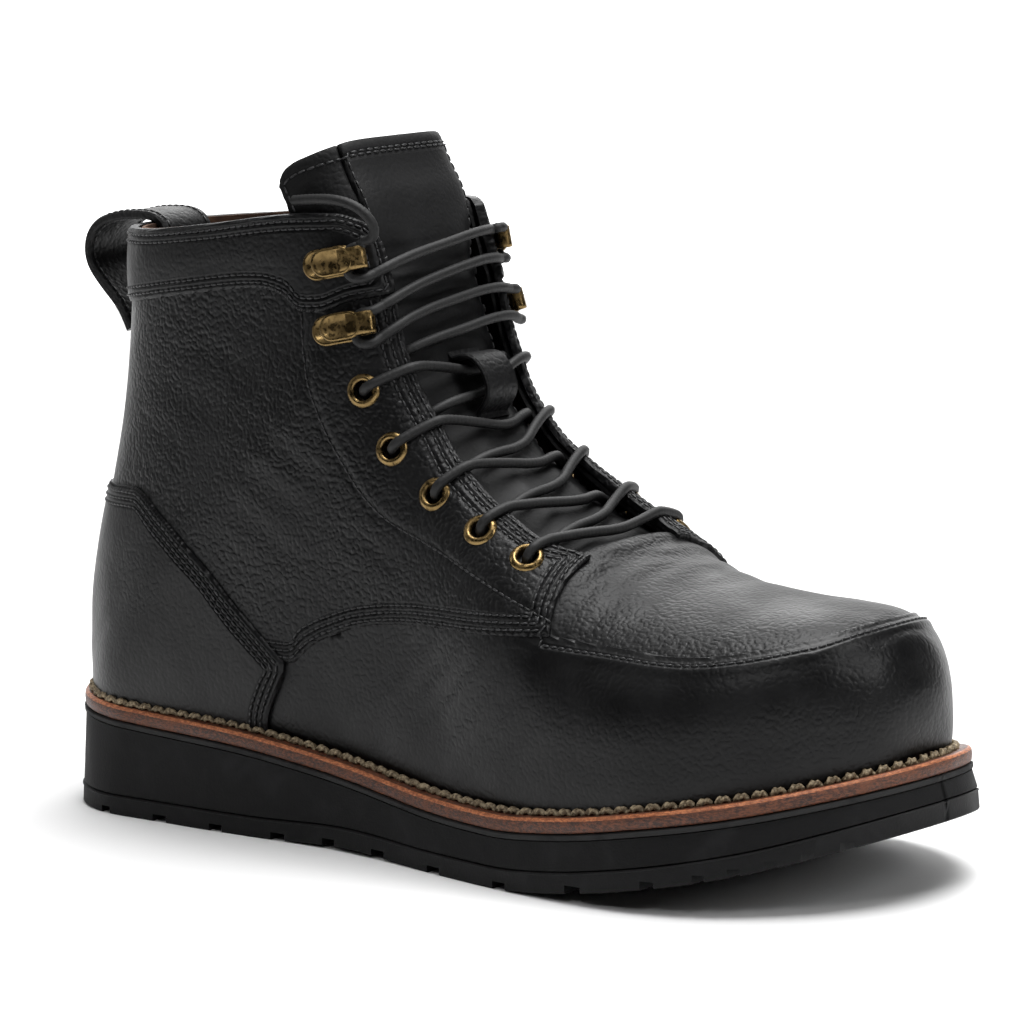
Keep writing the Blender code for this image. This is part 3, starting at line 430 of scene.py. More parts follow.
# Soft troughs and ridges, listed one by one: side of the boot, two ends in side view in millimetres from
# the back of the heel and from the floor, half width and depth in millimetres
CREASES = (
    # side, x, z, x, z, half width, depth
    (-1, 150, 44, 168, 62, 2.6, 0.55),
    (-1, 158, 40, 180, 60, 2.4, 0.65),
    (-1, 170, 38, 190, 58, 2.8, 0.70),
    (-1, 183, 37, 200, 56, 2.4, 0.55),
    (-1, 196, 38, 209, 52, 2.2, 0.40),
    (-1, 140, 48, 156, 64, 2.4, 0.40),
    (1, 160, 40, 182, 60, 2.8, 0.60),
    (1, 174, 38, 196, 58, 2.6, 0.60),
    (1, 148, 46, 168, 62, 2.6, 0.45),
    (-1, 96, 120, 122, 104, 3.4, 0.55),
    (-1, 90, 108, 118, 94, 3.6, 0.45),
    (-1, 84, 98, 110, 82, 3.4, 0.40),
    (-1, 60, 128, 88, 120, 4.0, 0.40),
    (-1, 70, 142, 98, 134, 3.6, 0.35),
    (-1, 128, 92, 150, 82, 3.0, 0.40),
    (-1, 44, 118, 66, 112, 3.4, 0.35),
    (1, 90, 118, 120, 102, 3.6, 0.50),
    (1, 70, 134, 100, 124, 3.8, 0.40),
    (1, 84, 100, 112, 84, 3.4, 0.40),
)
# The same across the apron: section of the upper, how far it runs out from the middle as a share of
# the half width, half width in sections and depth in millimetres
APRON_CREASES = ((9.0, 0.9, 0.16, 0.9), (8.55, 1.0, 0.14, 0.8), (8.1, 0.95, 0.16, 0.9),
                 (7.7, 0.8, 0.12, 0.6), (7.35, 0.9, 0.13, 0.5), (6.9, 0.7, 0.14, 0.4))


def creases():
    """How far the leather stands in or out, at each point of the grid."""
    x, z = X / MM + LENGTH / MM / 2, Z / MM
    lift = np.zeros_like(X)
    for side, x0, z0, x1, z1, half, depth in CREASES:
        dx, dz = x1 - x0, z1 - z0
        t = np.clip(((x - x0) * dx + (z - z0) * dz) / (dx * dx + dz * dz), 0, 1)
        bow = 1.6 * np.sin(math.pi * t)
        off = np.hypot(x - x0 - t * dx - bow, z - z0 - t * dz)
        fade = np.sin(math.pi * np.clip(t, 0.02, 0.98)) ** 0.5
        same = (Y - CENTRE) * side > 0
        wave = np.exp(-(off / half) ** 2) - 0.5 * np.exp(-((off - 2.0 * half) / half) ** 2)
        lift -= np.where(same, CREASE_SHARE * depth * fade * wave, 0.0)
    number = NUMBER[:, None]
    out = (np.arange(COLUMNS) - FRONT)[None] / SIDE_STEPS
    for middle, reach, half, depth in APRON_CREASES:
        bent = middle + 3.0 * out * out + 0.12 * np.sin(out * 17 + middle * 5)
        fade = np.exp(-(np.abs(out) / (0.36 * reach)) ** 4)
        off = (number - bent) / half
        wave = np.exp(-off ** 2) - 0.55 * np.exp(-(np.abs(off) - 1.9) ** 2)
        lift -= CREASE_SHARE * depth * fade * wave
    return lift * MM


CREASE = creases()


def grid_point(row, column, lift):
    """Point of the form between its grid points, moved out by lift, and its normal."""
    i = int(min(max(row, 0), ROWS - 2))
    j = int(math.floor(column))
    a, b = row - i, column - j
    j, k = j % COLUMNS, (j + 1) % COLUMNS
    weights = ((1 - a) * (1 - b), (1 - a) * b, a * (1 - b), a * b)
    corners = ((i, j), (i, k), (i + 1, j), (i + 1, k))
    point = sum(w * FORM[c] for w, c in zip(weights, corners))
    out = sum(w * NORMAL[c] for w, c in zip(weights, corners))
    out /= np.linalg.norm(out)
    return point + out * lift, out


def row_of(number):
    """Row of the grid for a section number."""
    return float(np.interp(number, NUMBER[CAP_ROWS:], np.arange(CAP_ROWS, ROWS)))


def on_form(number, arc, lift):
    """Point of the form at a section number and a distance from the front line, and its normal."""
    row = row_of(number)
    step = float(np.interp(row, np.arange(ROWS), PER_STEP[0 if arc < 0 else 1]))
    return grid_point(row, FRONT + arc / step, lift)


def find(point):
    """Section number and distance from the front line of the place next to a point."""
    gap = ((FORM - np.asarray(point)) ** 2).sum(axis=2)
    row, column = np.unravel_index(gap.argmin(), gap.shape)
    return float(NUMBER[row]), float(ARC[row, column])


def seat(spot, side, lift):
    """Middle and forward, across and out axes of a flat piece on one side of the boot."""
    gap = ((ALONG - spot[0]) * LENGTH) ** 2 + ((RISE - spot[1]) * SHAFT_HEIGHT) ** 2
    gap = np.where((Y - CENTRE) * side > 0, gap, 1.0)
    row, column = np.unravel_index(gap.argmin(), gap.shape)
    out = NORMAL[max(row - 3, 0):row + 4, column - 3:column + 4].reshape(-1, 3).mean(axis=0)
    out /= np.linalg.norm(out)
    forward = np.cross(out, (0.0, 0.0, 1.0))
    forward *= math.copysign(1.0, forward[0]) / np.linalg.norm(forward)
    return FORM[row, column] + out * lift, np.stack((forward, np.cross(out, forward), out))


SIDES = ((-1, 'outer'), (1, 'inner'))
EYELET_SEATS = {(side, number): seat(spot, side, QUARTER - VAMP)
                for side, _ in SIDES for number, spot in enumerate(EYELETS, 1)}
HOOK_SEATS = {(side, number): seat(spot, side, (CUFF if number == 1 else QUARTER) - VAMP + 0.3 * MM)
              for side, _ in SIDES for number, spot in enumerate(HOOKS, 1)}
HOLES = np.minimum.reduce([np.linalg.norm(FORM - middle, axis=2) for middle, _ in EYELET_SEATS.values()])


# Mesh tools

def grid_faces(rows, columns, closed):
    """Triangles over a grid of points."""
    i, j = np.meshgrid(np.arange(rows - 1), np.arange(columns if closed else columns - 1), indexing='ij')
    a, b = i * columns + j, i * columns + (j + 1) % columns
    c, d = b + columns, a + columns
    return np.concatenate((np.stack((a, b, c), -1).reshape(-1, 3), np.stack((a, c, d), -1).reshape(-1, 3)))


def capped(rows, columns):
    """Triangles over a closed body: its sides, and a fan over each end."""
    j = np.arange(1, columns - 1)
    last = (rows - 1) * columns
    return np.concatenate((grid_faces(rows, columns, True), np.stack((0 * j, j + 1, j), 1),
                           last + np.stack((0 * j, j, j + 1), 1)))


def clip(data, faces, value):
    """The part of a triangle mesh where value is positive, with its cut edges as pairs of points."""
    keep = value > 0
    count = keep[faces].sum(axis=1)
    whole = faces[count == 3].tolist()
    added, edges, seen = [], [], {}
    base = len(data)

    def cut(a, b):
        key = (a, b) if a < b else (b, a)
        if key not in seen:
            t = value[a] / (value[a] - value[b])
            seen[key] = base + len(added)
            added.append(data[a] + t * (data[b] - data[a]))
        return seen[key]

    for face in faces[(count == 1) | (count == 2)].tolist():
        while not (keep[face[0]] and not keep[face[2]]):
            face = face[1:] + face[:1]
        a, b, c = face
        if keep[b]:
            p, q = cut(b, c), cut(c, a)
            whole += [[a, b, p], [a, p, q]]
        else:
            p, q = cut(a, b), cut(c, a)
            whole.append([a, p, q])
        edges.append((p, q))
    data = np.concatenate((data, np.array(added))) if added else data
    faces = np.array(whole)
    used = np.unique(faces)
    order = np.full(len(data), -1)
    order[used] = np.arange(len(used))
    return data[used], order[faces], [(order[a], order[b]) for a, b in edges]


def chains(edges):
    """Runs of points from pairs that follow each other."""
    following = dict(edges)
    starts = set(following) - set(following.values())
    runs = []
    while following:
        run = [starts.pop() if starts else next(iter(following))]
        while run[-1] in following:
            run.append(following.pop(run[-1]))
        runs.append(run)
    return runs


def add_mesh(name, points, faces, finish, edge=None, sharp=40):
    """Smooth mesh object; edge is each point's distance from the edge of its panel."""
    mesh = bpy.data.meshes.new(name)
    mesh.from_pydata([tuple(point) for point in points], [], [tuple(face) for face in faces])
    if edge is not None:
        mesh.attributes.new('edge', 'FLOAT', 'POINT').data.foreach_set('value', np.asarray(edge, np.float32))
    mesh.materials.append(FINISH[finish])
    mesh.shade_smooth()
    mesh.set_sharp_from_angle(angle=math.radians(sharp))
    made = bpy.data.objects.new(name, mesh)
    bpy.context.scene.collection.objects.link(made)
    return made


def clean(piece, angle=40):
    """Join points that touch, drop empty faces and turn all faces outward."""
    bm = bmesh.new()
    bm.from_mesh(piece.data)
    bmesh.ops.remove_doubles(bm, verts=bm.verts, dist=1e-6)
    bmesh.ops.dissolve_degenerate(bm, edges=bm.edges, dist=1e-7)
    bmesh.ops.recalc_face_normals(bm, faces=bm.faces)
    bm.to_mesh(piece.data)
    bm.free()
    piece.data.set_sharp_from_angle(angle=math.radians(angle))


def dress(piece, slot, *nodes):
    """The piece goes with the boot and stands for the nodes, which are hidden; the slot is not used."""
    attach(piece, 'root')
    if nodes:
        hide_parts(*nodes)


# Columns of a panel's data: point, normal, height of its face, distance from its finished edge,
# distance inside its cut edge, one more field, and height of its back
POINT, OUT, HEIGHT, EDGE, INSIDE, EXTRA, BACK = slice(0, 3), slice(3, 6), 6, 7, 8, 9, 10


def sheet(name, nodes, region, height, back, edge, finish, turn=0.9 * MM, step=1, extra=0.0,
          slot='black_leather'):
    """Closed panel of leather over a region of the form; gives the piece and its upper face."""
    pick = (slice(None, None, step), slice(None, None, step))
    fields = [(field + 0 * region)[pick].reshape(-1, 1) for field in (height, edge, region, extra, back)]
    data = np.concatenate([FORM[pick].reshape(-1, 3), NORMAL[pick].reshape(-1, 3), *fields], axis=1)
    rows = len(range(0, ROWS, step))
    data, faces, rim = clip(data, grid_faces(rows, COLUMNS // step, True), data[:, INSIDE])
    # The cut edge is rounded over
    near = np.clip(data[:, INSIDE] / turn, 0, 1)
    data[:, HEIGHT] -= turn * (1 - np.sqrt(1 - (1 - near) ** 2)) * 0.75
    count = len(data)
    points = np.concatenate([data[:, POINT] + data[:, OUT] * data[:, (column,)] for column in (HEIGHT, BACK)])
    rim = np.array(rim)
    all_faces = (faces, faces[:, ::-1] + count,
                 np.stack((rim[:, 1], rim[:, 0], rim[:, 0] + count), -1),
                 np.stack((rim[:, 1], rim[:, 0] + count, rim[:, 1] + count), -1))
    edges = np.concatenate((data[:, EDGE], np.full(count, -MM)))
    piece = add_mesh(name, points, np.concatenate(all_faces), finish, edges)
    dress(piece, slot, *nodes)
    return piece, (data, faces)


def iso_lines(face, value):
    """Lines on a panel where value is zero: points and normals, at least 12 mm long."""
    cut, _, edges = clip(*face, value)
    lines = []
    for run in chains(edges):
        points = cut[run][:, POINT] + cut[run][:, OUT] * cut[run][:, (HEIGHT,)]
        if running_length(points)[-1] > 12 * MM:
            lines.append((points, cut[run][:, OUT]))
    return lines


def running_length(points):
    """How far along its line each point is."""
    return np.r_[0, np.cumsum(np.linalg.norm(np.diff(points, axis=0), axis=1))]


def points_at(points, spots):
    """Points at some distances along a line."""
    length = running_length(points)
    return np.stack([np.interp(spots, length, points[:, k]) for k in range(3)], 1)


def even_points(points, pitch):
    """Points at equal steps along a line, with the line's direction at each."""
    points = np.asarray(points, float)
    length = running_length(points)[-1]
    count = max(int(round(length / pitch)), 2)
    spots = length * (np.arange(count) + 0.5) / count
    behind, here, before = (points_at(points, spots + step) for step in (-MM / 2, 0, MM / 2))
    along = before - behind
    return here, along / np.maximum(np.linalg.norm(along, axis=1, keepdims=True), 1e-12)


def smooth_line(points, pitch, rounds=3):
    """Line through points, cut at its corners and spaced evenly."""
    points = np.asarray(points, float)
    for _ in range(rounds):
        corners = (0.75 * points[:-1] + 0.25 * points[1:], 0.25 * points[:-1] + 0.75 * points[1:])
        middle = np.stack(corners, 1).reshape(-1, 3)
        points = np.concatenate((points[:1], middle[1:-1], points[-1:]))
    length = running_length(points)[-1]
    return points_at(points, np.linspace(0, length, max(int(length / pitch), 4) + 1))


# Turned, pressed and drawn shapes, each as points and faces

def lathe(profile, steps=40):
    """Body turned about Z from (radius, height) points, closed into itself."""
    turns = 2 * np.pi * np.arange(steps) / steps
    points = [(r * math.cos(turn), r * math.sin(turn), z) for turn in turns for r, z in profile]
    n = len(profile)
    i, j = (grid.ravel() for grid in np.meshgrid(np.arange(steps), np.arange(n), indexing='ij'))
    a, b = i * n + j, i * n + (j + 1) % n
    c, d = (i + 1) % steps * n + (j + 1) % n, (i + 1) % steps * n + j
    return np.array(points), np.stack((a, d, c, a, c, b), 1).reshape(-1, 3)


def oval(length, width, levels, steps=12):
    """Plate with straight sides and round ends along X, from (inset, height) levels."""
    points = []
    for inset, height in levels:
        radius = width / 2 - inset
        for end in (1, -1):
            for turn in math.pi * (np.arange(steps + 1) / steps - 0.5):
                points.append((end * ((length - width) / 2 + radius * math.cos(turn)),
                               end * radius * math.sin(turn), height))
    return np.array(points), capped(len(levels), 2 * (steps + 1))


def strap_shape(line, width, thickness, side, steps=10):
    """Flat strap with soft edges along a line of points; gives the line's normals too."""
    half, soft = thickness / 2, min(thickness * 0.3, 0.6 * MM)
    across = np.linspace(-width / 2 + soft, width / 2 - soft, steps)
    loop = [(a, half) for a in across] + [(width / 2, half - soft), (width / 2, soft - half)]
    loop += [(a, -half) for a in across[::-1]] + [(-width / 2, soft - half), (-width / 2, half - soft)]
    along = np.gradient(line, axis=0)
    along /= np.linalg.norm(along, axis=1, keepdims=True)
    side = np.array(side)
    out = np.cross(along, side)
    points = np.array([p + a * side + h * o for p, o in zip(line, out) for a, h in loop])
    return points, capped(len(line), len(loop)), out


def braided_cord(points, radius, sides=14, braid=0.07, pitch=3.0 * MM):
    """Tube along a line, with a braid's diamonds raised on it."""
    along = np.gradient(points, axis=0)
    along /= np.maximum(np.linalg.norm(along, axis=1, keepdims=True), 1e-12)
    side = np.cross(along[0], (0.0, 0.0, 1.0))
    length = running_length(points)
    turns = 2 * math.pi * np.arange(sides) / sides
    rings = []
    for i, point in enumerate(points):
        side = side - along[i] * np.dot(side, along[i])
        side /= np.linalg.norm(side)
        up = np.cross(along[i], side)
        run = 2 * math.pi * length[i] / pitch
        size = radius * (1 + braid * (np.sin(4 * turns + run) * np.sin(4 * turns - run) - 0.4))
        rings.append(point + (size * np.cos(turns))[:, None] * side + (size * np.sin(turns))[:, None] * up)
    return np.concatenate(rings), capped(len(points), sides)[:, ::-1]


def strand(length, radius, rings=5, sides=6, arch=0.0, twist=0.0, depth=0.0):
    """A short thread of two plies along X with round ends."""
    points = []
    for i in range(rings):
        t = i / (rings - 1)
        size = radius * max(math.sin(math.pi * (0.08 + 0.84 * t)), 0.0) ** 0.35
        for j in range(sides):
            turn = 2 * math.pi * j / sides
            swell = 1 + depth * math.cos(2 * (turn + twist * t))
            points.append((length * (t - 0.5), size * swell * math.cos(turn),
                           size * swell * math.sin(turn) + arch * math.sin(math.pi * t)))
    return np.array(points), capped(rings, sides)


def join(shapes):
    """One body's points and faces from several."""
    points, faces, count = [], [], 0
    for shape in shapes:
        points.append(shape[0])
        faces.append(shape[1] + count)
        count += len(shape[0])
    return np.concatenate(points), np.concatenate(faces)


def scatter(name, shape, places, along, out, finish):
    """One mesh of the same small shape at many places."""
    points, faces = shape
    side = np.cross(out, along)
    side /= np.maximum(np.linalg.norm(side, axis=1, keepdims=True), 1e-12)
    out = np.cross(along, side)
    turned = (points[None, :, 0:1] * along[:, None] + points[None, :, 1:2] * side[:, None]
              + points[None, :, 2:3] * out[:, None] + places[:, None])
    steps = np.arange(len(places)) * len(points)
    all_faces = (faces[None] + steps[:, None, None]).reshape(-1, 3)
    return add_mesh(name, turned.reshape(-1, 3), all_faces, finish, sharp=80)


def stitch_rows(name, lines, pitch, length, radius):
    """Thread along several lines, each a pair of points and normals, a tenth of it proud."""
    places, directions, outs = [], [], []
    for points, normals in lines:
        spots, along = even_points(points, pitch)
        gap = ((spots[:, None] - points[None]) ** 2).sum(axis=2)
        out = normals[gap.argmin(axis=1)]
        places.append(spots + out * (radius * 0.1))
        directions.append(along)
        outs.append(out)
    shape = strand(length, radius, arch=0.25 * radius)
    rows = (np.concatenate(parts) for parts in (places, directions, outs))
    dress(scatter(name, shape, *rows, 'thread'), 'black_leather')


# Materials

NOISE, BUMP, MATH = 'ShaderNodeTexNoise', 'ShaderNodeBump', 'ShaderNodeMath'
RANGE, SMOOTH = 'ShaderNodeMapRange', {'interpolation_type': 'SMOOTHSTEP'}
MIX, COLOUR, MIXED = 'ShaderNodeMix', {'data_type': 'RGBA'}, 2
FINISH = {}


def linear(code):
    """Linear colour of an sRGB hex code."""
    parts = [int(code[i:i + 2], 16) / 255 for i in (1, 3, 5)]
    return tuple(c / 12.92 if c <= 0.04045 else ((c + 0.055) / 1.055) ** 2.4 for c in parts) + (1.0,)


def fill(tree, made, links):
    """Give a node's sockets their sources or values, by name or in order."""
    for key, value in links.items() if isinstance(links, dict) else enumerate(links):
        if isinstance(value, bpy.types.NodeSocket):
            tree.links.new(value, made.inputs[key])
        else:
            made.inputs[key].default_value = value


def node(tree, kind, links=(), output=0, **settings):
    """Add a node with its settings and links, and give one of its outputs."""
    made = tree.nodes.new(kind)
    for key, value in settings.items():
        setattr(made, key, value)
    fill(tree, made, links)
    return made.outputs[output]


def start_material(name):
    """New material: itself, its nodes, its shader and the object's coordinates."""
    made = bpy.data.materials.new(name)
    made.use_nodes = True
    tree = made.node_tree
    return made, tree, tree.nodes['Principled BSDF'], node(tree, 'ShaderNodeTexCoord', output='Object')


def per_mm(size):
    """Texture scale for a pattern that repeats every so many millimetres."""
    return 1000.0 / size


def full_grain_leather(name, colour, worn, grain, wrinkle, roughness, rows):
    """Waxed full grain leather: satin, with pebbles, finer pores and dull worn patches.

    grain is the pebbles' depth and wrinkle that of the soft folds, in millimetres; rows are the
    distances of the sewn rows from the edge, where the thread pulls the leather in.
    """
    made, tree, surface, where = start_material(name)
    warp = node(tree, NOISE, {'Vector': where, 'Scale': per_mm(9.0), 'Detail': 2.0}, 'Color')
    bent = node(tree, 'ShaderNodeVectorMath', (warp, (1.6 * MM,) * 3), operation='MULTIPLY')
    spot = node(tree, 'ShaderNodeVectorMath', (where, bent), operation='ADD')
    pebble = node(tree, 'ShaderNodeTexVoronoi', {'Vector': spot, 'Scale': per_mm(1.15)}, feature='SMOOTH_F1')
    pore = node(tree, NOISE, {'Vector': where, 'Scale': per_mm(0.55), 'Detail': 3.0})
    fold = node(tree, NOISE, {'Vector': spot, 'Scale': per_mm(7.0), 'Detail': 5.0, 'Roughness': 0.62})
    patch = node(tree, NOISE, {'Vector': where, 'Scale': per_mm(26.0), 'Detail': 4.0})
    height = node(tree, RANGE, (pebble, 0.25, 0.75, 0.0, -grain), **SMOOTH)
    for source, depth in ((pore, 0.25 * grain), (fold, wrinkle)):
        height = node(tree, MATH, (source, depth, height), operation='MULTIPLY_ADD')
    edge = node(tree, 'ShaderNodeAttribute', output='Fac', attribute_name='edge') if rows else None
    for row in rows:
        off = node(tree, MATH, (edge, row * MM), operation='SUBTRACT')
        off = node(tree, MATH, (off,), operation='ABSOLUTE')
        dent = node(tree, RANGE, (off, 0.0, 1.1 * MM, -0.35, 0.0), **SMOOTH)
        height = node(tree, MATH, (height, dent), operation='ADD')
    bump = node(tree, BUMP, {'Height': height, 'Distance': MM, 'Strength': 1.0})
    rubbed = node(tree, RANGE, (patch, 0.42, 0.68, 0.0, 1.0), **SMOOTH)
    tint = node(tree, MIX, {0: rubbed, 6: linear(colour), 7: linear(worn)}, MIXED, **COLOUR)
    rough = node(tree, RANGE, (patch, 0.35, 0.70, roughness, roughness + 0.14), **SMOOTH)
    rough = node(tree, MATH, (pore, 0.10, rough), operation='MULTIPLY_ADD')
    fill(tree, surface, {'Normal': bump, 'Base Color': tint, 'Roughness': rough, 'IOR': 1.45,
                         'Specular IOR Level': 0.3})
    return made


def suede_lining(name, colour):
    """Vegetable tanned lining: matt, with a short nap."""
    made, tree, surface, where = start_material(name)
    nap = node(tree, NOISE, {'Vector': where, 'Scale': per_mm(0.7), 'Detail': 4.0})
    cloud = node(tree, NOISE, {'Vector': where, 'Scale': per_mm(18.0), 'Detail': 3.0})
    bump = node(tree, BUMP, {'Height': nap, 'Distance': 0.25 * MM, 'Strength': 0.8})
    dark = node(tree, RANGE, (cloud, 0.35, 0.7, 0.0, 1.0), **SMOOTH)
    tint = node(tree, MIX, {0: dark, 6: linear(colour), 7: linear('#2c1a10')}, MIXED, **COLOUR)
    fill(tree, surface, {'Normal': bump, 'Base Color': tint, 'Roughness': 0.82})
    return made


def wedge_rubber(name, colour, roughness):
    """Blown rubber with a buffed, powdery side that scatters light."""
    made, tree, surface, where = start_material(name)
    grit = node(tree, NOISE, {'Vector': where, 'Scale': per_mm(0.8), 'Detail': 5.0})
    smear = node(tree, NOISE, {'Vector': where, 'Scale': per_mm(14.0), 'Detail': 5.0, 'Distortion': 0.6})
    bump = node(tree, BUMP, {'Height': grit, 'Distance': 0.16 * MM, 'Strength': 0.7})
    dusty = node(tree, RANGE, (smear, 0.45, 0.75, 0.0, 1.0), **SMOOTH)
    tint = node(tree, MIX, {0: dusty, 6: linear(colour), 7: linear('#1d1d1e')}, MIXED, **COLOUR)
    rough = node(tree, RANGE, (smear, 0.3, 0.8, roughness, roughness + 0.15), **SMOOTH)
    fill(tree, surface, {'Normal': bump, 'Base Color': tint, 'Roughness': rough, 'IOR': 1.48,
                         'Specular IOR Level': 0.25})
    return made


def stacked_welt(name, colour, dark, fibre):
    """Cut edge of vegetable tanned leather: fibrous, waxed, redder in the hollows."""
    made, tree, surface, where = start_material(name)
    flat = node(tree, 'ShaderNodeMapping', {'Vector': where, 'Scale': (1.0, 1.0, 2.6)})
    grain = node(tree, NOISE, {'Vector': flat, 'Scale': per_mm(1.3), 'Detail': 6.0, 'Roughness': 0.7})
    cloud = node(tree, NOISE, {'Vector': where, 'Scale': per_mm(8.0), 'Detail': 3.0})
    pits = node(tree, NOISE, {'Vector': flat, 'Scale': per_mm(0.6), 'Detail': 3.0})
    light = node(tree, RANGE, (grain, 0.40, 0.62, 0.0, 1.0), **SMOOTH)
    tint = node(tree, MIX, {0: light, 6: linear(dark), 7: linear(colour)}, MIXED, **COLOUR)
    waxed = node(tree, RANGE, (cloud, 0.45, 0.8, 0.0, 0.55), **SMOOTH)
    tint = node(tree, MIX, {0: waxed, 6: tint, 7: linear('#77452a')}, MIXED, **COLOUR)
    height = node(tree, MATH, (grain, fibre, pits), operation='MULTIPLY_ADD')
    bump = node(tree, BUMP, {'Height': height, 'Distance': 0.22 * MM, 'Strength': 0.8})
    rough = node(tree, RANGE, (cloud, 0.3, 0.7, 0.38, 0.58), **SMOOTH)
    fill(tree, surface, {'Normal': bump, 'Base Color': tint, 'Roughness': rough})
    return made


def antique_brass(name):
    """Lacquered brass, oxidised dark in its specks and hollows and rubbed bright elsewhere."""
    made, tree, surface, where = start_material(name)
    speck = node(tree, NOISE, {'Vector': where, 'Scale': per_mm(2.4), 'Detail': 4.0, 'Roughness': 0.6})
    cloud = node(tree, NOISE, {'Vector': where, 'Scale': per_mm(5.0), 'Detail': 2.0})
    dark = node(tree, RANGE, (speck, 0.56, 0.68, 0.0, 1.0), **SMOOTH)
    tint = node(tree, MIX, {0: dark, 6: linear('#86704a'), 7: linear('#241c10')}, MIXED, **COLOUR)
    dull = node(tree, RANGE, (cloud, 0.40, 0.75, 0.0, 0.6), **SMOOTH)
    tint = node(tree, MIX, {0: dull, 6: tint, 7: linear('#54452a')}, MIXED, **COLOUR)
    rough = node(tree, RANGE, (speck, 0.40, 0.66, 0.24, 0.55), **SMOOTH)
    bump = node(tree, BUMP, {'Height': speck, 'Distance': 0.06 * MM, 'Strength': 0.6})
    fill(tree, surface, {'Normal': bump, 'Base Color': tint, 'Roughness': rough, 'Metallic': 1.0})
    return made


def waxed_thread(name, colour, dark, roughness):
    """Twisted waxed thread or braid: darker in its turns, with dull fibres."""
    made, tree, surface, where = start_material(name)
    twist = node(tree, NOISE, {'Vector': where, 'Scale': per_mm(0.9), 'Detail': 4.0})
    light = node(tree, RANGE, (twist, 0.38, 0.66, 0.0, 1.0), **SMOOTH)
    tint = node(tree, MIX, {0: light, 6: linear(dark), 7: linear(colour)}, MIXED, **COLOUR)
    bump = node(tree, BUMP, {'Height': twist, 'Distance': 0.12 * MM, 'Strength': 0.7})
    fill(tree, surface, {'Normal': bump, 'Base Color': tint, 'Roughness': roughness})
    return made


# Sole and welt

def rim(along, side, inset, level, rise):
    """Points round a layer of the sole: how far in, and how far above a level."""
    x, y = plan_point(along, side, inset)
    return np.stack((x, y, level(share(x)) + rise), -1)


def stations(count):
    """Shares of the length, closer together at the heel and toe."""
    return 0.5 - 0.5 * np.cos(math.pi * np.arange(count + 1) / count)


def outline():
    """Shares of the length and sides all the way round the boot."""
    along = stations(260)
    return [(a, -1) for a in along] + [(a, 1) for a in along[-2:0:-1]]


def plate(name, nodes, finish, *profile, slot='black_rubber'):
    """Layer of the sole from (inset, level, rise) steps up its side, the same on both sides."""
    along = stations(220)
    rows = [rim(along, side, *step) for side in (-1, 1) for step in profile[::-side]]
    piece = add_mesh(name, np.stack(rows, 1).reshape(-1, 3), capped(len(along), len(rows)), finish)
    clean(piece)
    dress(piece, slot, *nodes)
    return piece


def build_sole():
    soft = 0.35 * MM
    parting = FLARE / 4
    tread = plate('tread_finished', ['outsole_tread'], 'tread', (soft, underside, 0.0),
                  (0.0, underside, soft), (parting * 0.6, underside, TREAD - 2 * soft),
                  (0.0, underside, TREAD - soft), (parting, underside, TREAD))
    bars = bmesh.new()
    for length, width in GROOVES:
        top = float(underside(length / LENGTH)) + GROOVE_DEPTH
        middle = Vector((place(length / LENGTH), 0, top - TREAD))
        size = Vector((width, 2 * BALL_WIDTH, 2 * TREAD))
        bmesh.ops.create_cube(bars, size=1.0, matrix=Matrix.LocRotScale(middle, None, size))
    mesh = bpy.data.meshes.new('bars')
    bars.to_mesh(mesh)
    bars.free()
    cutter = bpy.data.objects.new('bars', mesh)
    bpy.context.scene.collection.objects.link(cutter)
    cut = tread.modifiers.new('Grooves', 'BOOLEAN')
    cut.operation = 'DIFFERENCE'
    cut.object = cutter
    view = bpy.context.evaluated_depsgraph_get()
    mesh = bpy.data.meshes.new_from_object(tread.evaluated_get(view))
    tread.modifiers.clear()
    tread.data = mesh
    bpy.data.objects.remove(cutter)
    under = -WELT - GAP - MIDSOLE
    plate('wedge_finished', ['wedge'], 'wedge', (parting + 2 * soft, underside, TREAD + GAP / 2),
          (parting, underside, TREAD + GAP / 2 + soft), (FLARE, welt_top, under - GAP / 2))
    plate('midsole_finished', ['midsole'], 'midsole', (FLARE + soft, welt_top, under),
          (FLARE - soft, welt_top, under + soft), (FLARE - soft, welt_top, under + MIDSOLE - soft),
          (FLARE + soft, welt_top, under + MIDSOLE))
    build_welt()
    ring = FLARE + WELT_RING + GAP
    plate('insole_finished', ['insole'], 'lining', (ring, welt_top, -WELT), (ring, welt_top, INSOLE_RISE),
          slot='brown_lining_leather')


def build_welt():
    """Ring of leather round the sole, with its upper corner bevelled, and a lighter copper copy of the welt
    leather on the bevel as a painted highlight.
    """
    chamfer = 0.9 * MM
    profile = ((FLARE + 0.3 * MM, -WELT), (FLARE, 0.35 * MM - WELT), (FLARE - 0.15 * MM, -WELT / 2),
               (FLARE, -chamfer), (FLARE + 0.35 * MM, -0.3 * MM), (FLARE + chamfer, 0.0),
               (FLARE + WELT_RING, 0.0), (FLARE + WELT_RING, -WELT))
    painted_highlight_profile = {3, 4, 5}
    rings = [[rim(a, side, inset, welt_top, rise) for inset, rise in profile] for a, side in outline()]
    grid = np.array(rings + rings[:1])
    faces = grid_faces(len(grid), len(profile), True)
    welt = add_mesh('welt_finished', grid.reshape(-1, 3), faces, 'welt')
    welt.data.materials.append(FINISH['welt_bevel_painted_highlight'])
    # Faces on the bevel take the lighter copper finish: a painted highlight
    for face in welt.data.polygons:
        face.material_index = int({v % len(profile) for v in face.vertices} <= painted_highlight_profile)
    clean(welt, 50)
    dress(welt, 'brown_welt_leather', 'welt')


